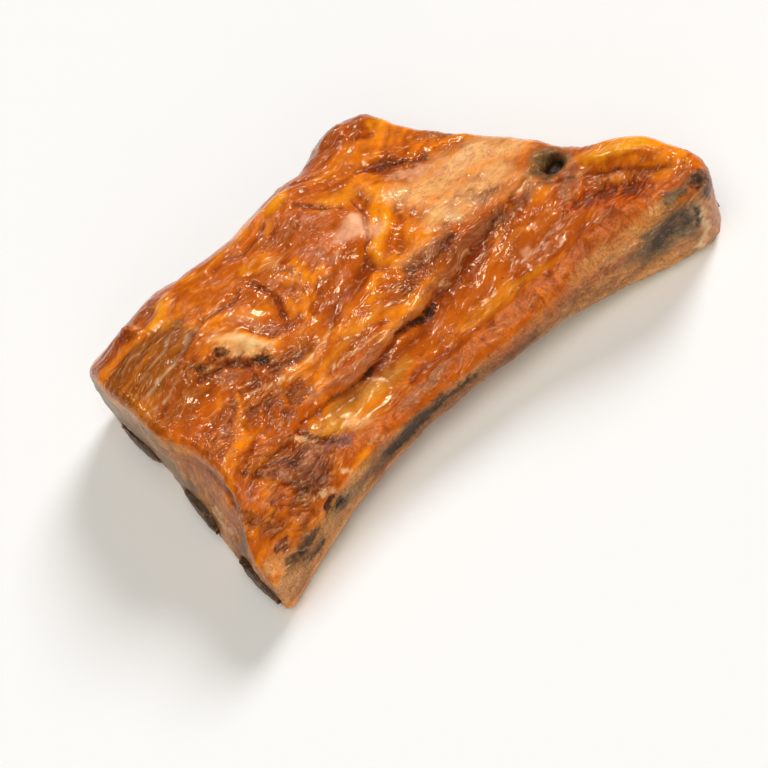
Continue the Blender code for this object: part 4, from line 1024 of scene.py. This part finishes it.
def mix_colour(tree, blend, share, first, second):
    node = tree.nodes.new("ShaderNodeMix")
    node.data_type = "RGBA"
    node.blend_type = blend
    for name, value in (("Factor_Float", share), ("A_Color", first), ("B_Color", second)):
        socket = next(s for s in node.inputs if s.identifier == name)
        if isinstance(value, bpy.types.NodeSocket):
            tree.links.new(value, socket)
        else:
            socket.default_value = value
    return next(s for s in node.outputs if s.identifier == "Result_Color")


def ramp(tree, value, stops):
    node = tree.nodes.new("ShaderNodeValToRGB")
    elements = node.color_ramp.elements
    while len(elements) < len(stops):
        elements.new(0.5)
    for element, (place, colour) in zip(elements, stops):
        element.position = place
        element.color = (*colour, 1)
    tree.links.new(value, node.inputs["Fac"])
    return node.outputs["Color"]


def mapped(tree, vector, turn, scale):
    node = tree.nodes.new("ShaderNodeMapping")
    tree.links.new(vector, node.inputs["Vector"])
    node.inputs["Rotation"].default_value = turn
    node.inputs["Scale"].default_value = scale
    return node.outputs["Vector"]


def noise_node(tree, vector, scale, detail, roughness, distortion=0.0):
    node = tree.nodes.new("ShaderNodeTexNoise")
    tree.links.new(vector, node.inputs["Vector"])
    node.inputs["Scale"].default_value = scale
    node.inputs["Detail"].default_value = detail
    node.inputs["Roughness"].default_value = roughness
    node.inputs["Distortion"].default_value = distortion
    return node.outputs["Fac"]


def warped(tree, vector, scale, reach):
    """The same places, pushed about smoothly, so that what is drawn there bends."""
    push = tree.nodes.new("ShaderNodeTexNoise")
    push.inputs["Scale"].default_value = scale
    push.inputs["Detail"].default_value = 2
    tree.links.new(vector, push.inputs["Vector"])
    shift = tree.nodes.new("ShaderNodeVectorMath")
    shift.operation = "MULTIPLY_ADD"
    tree.links.new(push.outputs["Color"], shift.inputs[0])
    shift.inputs[1].default_value = (reach, reach, reach)
    tree.links.new(vector, shift.inputs[2])
    return shift.outputs["Vector"]


def strands_group():
    """Fine strands: stretched noise along the rack, across it, upright on its cut ends, and wet wrinkles."""
    kinds = ("Along", "Across", "Upright", "Wrinkles", "Ripples", "Threads")
    given_sockets = [("Vector", "NodeSocketVector", None)]
    group, given, result = new_group("strands", given_sockets, [(kind, "NodeSocketFloat") for kind in kinds])
    vector = warped(group, given.outputs["Vector"], 38, 0.02)
    along = mapped(group, vector, (0, 0, math.radians(-13)), (0.22, 1.0, 0.9))
    across = mapped(group, vector, (0, 0, math.radians(28)), (1.0, 0.25, 0.35))
    upright = mapped(group, vector, (math.radians(12), 0, 0), (1.0, 1.0, 0.12))
    for name, stretched in (("Along", along), ("Across", across), ("Upright", upright)):
        group.links.new(noise_node(group, stretched, 640, 5, 0.62, 0.6), result.inputs[name])
    loose = mapped(group, vector, (0, 0, math.radians(-13)), (0.38, 1.0, 0.9))
    waves = noise_node(group, loose, 330, 2, 0.5, 0.25)
    folds = math_node(group, "ABSOLUTE", math_node(group, "SUBTRACT", waves, 0.5))
    group.links.new(math_node(group, "MULTIPLY", folds, 4.0), result.inputs["Wrinkles"])
    # ripples come and go, so that parts of the glaze stay smooth
    rippled = mapped(group, vector, (0, 0, math.radians(-13)), (0.6, 1.0, 0.9))
    strength = math_node(group, "MULTIPLY_ADD", noise_node(group, loose, 75, 2, 0.5), 6.0, -2.6, clamp=True)
    ripples = math_node(group, "SUBTRACT", noise_node(group, rippled, 500, 2, 0.5, 0.9), 0.5)
    group.links.new(math_node(group, "MULTIPLY", ripples, strength), result.inputs["Ripples"])
    lines = noise_node(group, along, 330, 4, 0.55, 1.2)
    away = math_node(group, "ABSOLUTE", math_node(group, "SUBTRACT", lines, 0.5))
    thin = math_node(group, "MULTIPLY_ADD", away, -26.0, 1.0, clamp=True)
    here = math_node(group, "MULTIPLY_ADD", noise_node(group, loose, 130, 2, 0.5), 5.0, -2.1, clamp=True)
    group.links.new(math_node(group, "MULTIPLY", thin, here), result.inputs["Threads"])
    return group


def flecks_group():
    """Turns a smooth cover, 0 to 1, into ragged flecks with fine edges, and gives thin veins as well."""
    group, given, result = new_group(
        "flecks",
        [
            ("Vector", "NodeSocketVector", None),
            ("Sheen", "NodeSocketFloat", 0.0),
            ("Fat", "NodeSocketFloat", 0.0),
            ("Char", "NodeSocketFloat", 0.0),
        ],
        [(name, "NodeSocketFloat") for name in ("Sheen", "Fat", "Char", "Veins")],
    )
    vector = warped(group, given.outputs["Vector"], 38, 0.02)
    long_flow = mapped(group, vector, (0, 0, math.radians(-14)), (0.35, 1.0, 1.0))
    streaky = mapped(group, vector, (0, 0, math.radians(-13)), (0.25, 1.0, 0.8))
    kinds = (
        # the sheen flecks are a painted reflection
        ("Sheen", noise_node(group, long_flow, 420, 8, 0.66, 0.6), 3.0, 0.20, 0.95),
        ("Fat", noise_node(group, streaky, 760, 6, 0.6, 0.3), 2.6, 0.12, 0.95),
        ("Char", noise_node(group, given.outputs["Vector"], 540, 8, 0.72, 0.4), 2.8, 0.30, 0.85),
    )
    for name, pattern, gain, low, high in kinds:
        spread = math_node(group, "MULTIPLY_ADD", pattern, gain, -gain / 2)
        total = math_node(group, "ADD", spread, given.outputs[name])
        step = group.nodes.new("ShaderNodeMapRange")
        step.interpolation_type = "SMOOTHSTEP"
        step.inputs["From Min"].default_value = low
        step.inputs["From Max"].default_value = high
        group.links.new(total, step.inputs["Value"])
        group.links.new(step.outputs["Result"], result.inputs[name])
    veiny = noise_node(group, long_flow, 210, 6, 0.62, 1.6)
    away = math_node(group, "ABSOLUTE", math_node(group, "SUBTRACT", veiny, 0.5))
    veins = math_node(group, "MULTIPLY_ADD", away, -34.0, 1.0, clamp=True)
    group.links.new(veins, result.inputs["Veins"])
    return group


def food_material(name, strands, flecks, shine):
    """Smoked surface: tones and finishes painted on the piece, with strands, veins, pores and gloss."""
    material = bpy.data.materials.new(name)
    material.use_nodes = True
    tree = material.node_tree
    shader = tree.nodes["Principled BSDF"]
    place = tree.nodes.new("ShaderNodeTexCoord").outputs["Object"]
    tone, finish, cover = (tree.nodes.new("ShaderNodeAttribute") for _ in range(3))
    tone.attribute_name, finish.attribute_name, cover.attribute_name = "tone", "finish", "cover"
    split = tree.nodes.new("ShaderNodeSeparateColor")
    tree.links.new(finish.outputs["Color"], split.inputs["Color"])
    along_amount, across_amount, wrinkle_amount = split.outputs
    pore_amount, wet, vein_amount = finish.outputs["Alpha"], tone.outputs["Alpha"], cover.outputs["Alpha"]
    covers = tree.nodes.new("ShaderNodeSeparateColor")
    tree.links.new(cover.outputs["Color"], covers.inputs["Color"])

    fine = tree.nodes.new("ShaderNodeGroup")
    fine.node_tree = strands
    tree.links.new(place, fine.inputs["Vector"])
    fleck = tree.nodes.new("ShaderNodeGroup")
    fleck.node_tree = flecks
    tree.links.new(place, fleck.inputs["Vector"])
    for socket, amount in zip(("Sheen", "Fat", "Char"), covers.outputs):
        tree.links.new(amount, fleck.inputs[socket])

    facing = tree.nodes.new("ShaderNodeNewGeometry")
    facing_parts = tree.nodes.new("ShaderNodeSeparateXYZ")
    tree.links.new(facing.outputs["Normal"], facing_parts.inputs[0])
    endwise = math_node(tree, "ABSOLUTE", facing_parts.outputs["X"])
    endwise = math_node(tree, "MULTIPLY_ADD", endwise, 5.0, -3.2, clamp=True)
    cross = tree.nodes.new("ShaderNodeMix")
    tree.links.new(endwise, cross.inputs["Factor"])
    tree.links.new(fine.outputs["Across"], cross.inputs["A"])
    tree.links.new(fine.outputs["Upright"], cross.inputs["B"])
    cross = cross.outputs["Result"]

    stops = [(0.34, (0.6, 0.42, 0.3)), (0.5, (1, 1, 1)), (0.66, (1.18, 1.38, 1.3))]
    along_shade = ramp(tree, fine.outputs["Along"], stops)
    colour = mix_colour(tree, "MULTIPLY", along_amount, tone.outputs["Color"], along_shade)
    colour = mix_colour(tree, "MULTIPLY", across_amount, colour, ramp(tree, cross, stops))
    # the wrinkles' colour is darker in their creases and lighter on their crests: painted shade and painted
    # light that follow their bump
    folded = [(0.0, (0.56, 0.42, 0.36)), (0.2, (0.92, 0.86, 0.84)), (0.7, (1.2, 1.3, 1.34))]
    fold_shade = ramp(tree, fine.outputs["Wrinkles"], folded)
    colour = mix_colour(tree, "MULTIPLY", wrinkle_amount, colour, fold_shade)
    thread_amount = math_node(tree, "MULTIPLY_ADD", along_amount, 0.9, -0.12, clamp=True)
    threads = math_node(tree, "MULTIPLY", fine.outputs["Threads"], thread_amount)
    colour = mix_colour(tree, "MIX", threads, colour, (*linear((250, 176, 92)), 1))
    cloud = noise_node(tree, place, 380, 6, 0.65, 0.8)
    cloud_tint = ramp(tree, cloud, [(0.3, (0.66, 0.52, 0.42)), (0.5, (1, 1, 1)), (0.7, (1.14, 1.24, 1.25))])
    colour = mix_colour(tree, "MULTIPLY", 0.5, colour, cloud_tint)
    painted_sheen_colour, fat_colour, char_colour = ((*linear(COVER_TONES[key]), 1) for key in COVERS)
    # the sheen cover paints a pinkish reflection into the colour
    painted_sheen_amount = math_node(tree, "MULTIPLY", fleck.outputs["Sheen"], 0.55)
    colour = mix_colour(tree, "MIX", painted_sheen_amount, colour, painted_sheen_colour)
    fat_amount = math_node(tree, "MULTIPLY", fleck.outputs["Fat"], 0.8)
    colour = mix_colour(tree, "MIX", fat_amount, colour, fat_colour)
    lines = math_node(tree, "MULTIPLY", fleck.outputs["Veins"], vein_amount)
    colour = mix_colour(tree, "MULTIPLY", lines, colour, (0.66, 0.34, 0.18, 1))
    specks = noise_node(tree, place, 1300, 3, 0.7)
    speck_tint = ramp(tree, specks, [(0.36, (0.4, 0.32, 0.26)), (0.5, (1, 1, 1)), (0.7, (1.35, 1.3, 1.2))])
    colour = mix_colour(tree, "MULTIPLY", pore_amount, colour, speck_tint)
    char_amount = math_node(tree, "MULTIPLY", fleck.outputs["Char"], 0.92)
    colour = mix_colour(tree, "MIX", char_amount, colour, char_colour)
    tree.links.new(colour, shader.inputs["Base Color"])

    shader.inputs["Specular IOR Level"].default_value = 0.55
    shader.inputs["Specular Tint"].default_value = (1.0, 0.8, 0.54, 1)
    rough = math_node(tree, "MULTIPLY_ADD", wet, -shine, 0.5)
    rough = math_node(tree, "ADD", rough, math_node(tree, "MULTIPLY", pore_amount, 0.15))
    tree.links.new(math_node(tree, "MAXIMUM", rough, 0.12), shader.inputs["Roughness"])

    parts = (
        (fine.outputs["Ripples"], math_node(tree, "MULTIPLY_ADD", along_amount, 0.4, 0.12)),
        (cross, math_node(tree, "MULTIPLY", across_amount, 0.4)),
        (fine.outputs["Wrinkles"], math_node(tree, "MULTIPLY", wrinkle_amount, 0.7)),
        (specks, math_node(tree, "MULTIPLY", pore_amount, 0.15)),
        (fine.outputs["Along"], math_node(tree, "MULTIPLY", along_amount, 0.04)),
        (fleck.outputs["Fat"], 0.02),
        (fleck.outputs["Char"], -0.12),
        (lines, -0.04),
    )
    height = math_node(tree, "MULTIPLY", parts[0][0], parts[0][1])
    for pattern, amount in parts[1:]:
        height = math_node(tree, "ADD", height, math_node(tree, "MULTIPLY", pattern, amount))
    bump = tree.nodes.new("ShaderNodeBump")
    bump.inputs["Strength"].default_value = 1.0
    bump.inputs["Distance"].default_value = 0.001
    tree.links.new(height, bump.inputs["Height"])
    tree.links.new(bump.outputs["Normal"], shader.inputs["Normal"])
    return material


def plain_material(name, colour, roughness):
    material = bpy.data.materials.new(name)
    material.use_nodes = True
    shader = material.node_tree.nodes["Principled BSDF"]
    shader.inputs["Base Color"].default_value = (*colour, 1.0)
    shader.inputs["Roughness"].default_value = roughness
    shader.inputs["Specular IOR Level"].default_value = 0.0
    return material


# ---- The stage: floor, lights and camera --------------------------------------------------------------
CAMERA_TURN, CAMERA_DROP, CAMERA_ROLL = -22, 52, 25  # degrees
CAMERA_AIM, CAMERA_DISTANCE = (-0.011, -0.017, 0.015), 0.7  # metres
CAMERA_LENS, CAMERA_SHIFT = 107.8, (-0.0208, -0.0443)


def make_floor():
    bm = bmesh.new()
    bmesh.ops.create_grid(bm, x_segments=1, y_segments=1, size=6.0)
    mesh = bpy.data.meshes.new("floor")
    bm.to_mesh(mesh)
    bm.free()
    add_object("floor", mesh, plain_material("pale_floor", (0.97, 0.985, 1.0), 0.9))


def add_sun(name, towards, spread, strength, colour=(1, 1, 1), glint=False):
    """A distant light from the given direction, its spread in degrees; a glint shows in gloss only."""
    light = bpy.data.lights.new(name, "SUN")
    light.angle = math.radians(spread)
    light.energy = strength
    light.color = colour
    lamp = bpy.data.objects.new(name, light)
    lamp.rotation_euler = Vector(towards).to_track_quat("Z", "Y").to_euler()
    lamp.visible_glossy, lamp.visible_diffuse = glint, not glint
    bpy.context.scene.collection.objects.link(lamp)


def set_lights():
    world = bpy.data.worlds.new("studio")
    world.use_nodes = True
    background = world.node_tree.nodes["Background"]
    background.inputs["Color"].default_value = (1.0, 0.99, 0.98, 1)
    background.inputs["Strength"].default_value = 0.12
    bpy.context.scene.world = world
    add_sun("overhead", (-0.2, -0.25, 1.0), 50, 1.25, (1.0, 0.95, 0.84))
    add_sun("key", (0.8, 0.3, 0.58), 22, 2.25, (1.0, 0.99, 1.02))
    add_sun("fill", (-0.45, -0.8, 0.6), 50, 0.65, (1.0, 0.94, 0.84))
    for name, towards, spread, strength in [
        ("right_glint", (0.5, 0.36, 0.79), 6, 0.46),
        ("far_glint", (0.3, 0.85, 0.5), 5, 0.15),
        ("left_glint", (-0.16, 0.62, 0.8), 5.5, 0.34),
        ("near_glint", (0.02, -0.38, 0.92), 9, 0.5),
        ("high_glint", (-0.14, 0.3, 0.94), 7, 0.16),
        ("top_glint", (0.02, 0.14, 0.98), 5, 0.26),
        ("softbox", (0.26, 0.58, 0.79), 10, 0.08),
    ]:
        add_sun(name, towards, spread, strength, glint=True)
    bpy.context.scene.view_settings.view_transform = "Standard"


def set_camera():
    """Looks down on the near front corner, tipped as when the rack leans on something."""
    turn, drop, roll = (math.radians(angle) for angle in (CAMERA_TURN, CAMERA_DROP, CAMERA_ROLL))
    aim = Vector(CAMERA_AIM)
    level = Vector((math.cos(turn), math.sin(turn), 0))
    ahead = Vector((-math.sin(turn), math.cos(turn), 0)) * math.cos(drop) - Vector((0, 0, math.sin(drop)))
    upward = level.cross(ahead)
    right = math.cos(roll) * level - math.sin(roll) * upward
    up = math.sin(roll) * level + math.cos(roll) * upward
    place = aim - ahead * CAMERA_DISTANCE
    camera = bpy.data.objects.new("camera", bpy.data.cameras.new("camera"))
    camera.matrix_world = Matrix([(right[i], up[i], -ahead[i], place[i]) for i in range(3)] + [(0, 0, 0, 1)])
    camera.data.sensor_width = 36
    camera.data.lens = CAMERA_LENS
    camera.data.shift_x, camera.data.shift_y = CAMERA_SHIFT
    camera.data.clip_end = 20
    bpy.context.scene.collection.objects.link(camera)
    bpy.context.scene.camera = camera


set_camera()
set_lights()
make_floor()

strands, flecks = strands_group(), flecks_group()
meat = make_meat(food_material("smoked_glaze", strands, flecks, 0.39))
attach(meat, "root")
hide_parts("meat")

charred = food_material("charred_bone", strands, flecks, 0.25)
for number, line in enumerate(BONE_LINES, start=1):
    bone = make_bone(f"rib_bone_{number}", line, 50 + 10 * number, charred)
    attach(bone, "root")
    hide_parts(f"rib_bone_{number}")
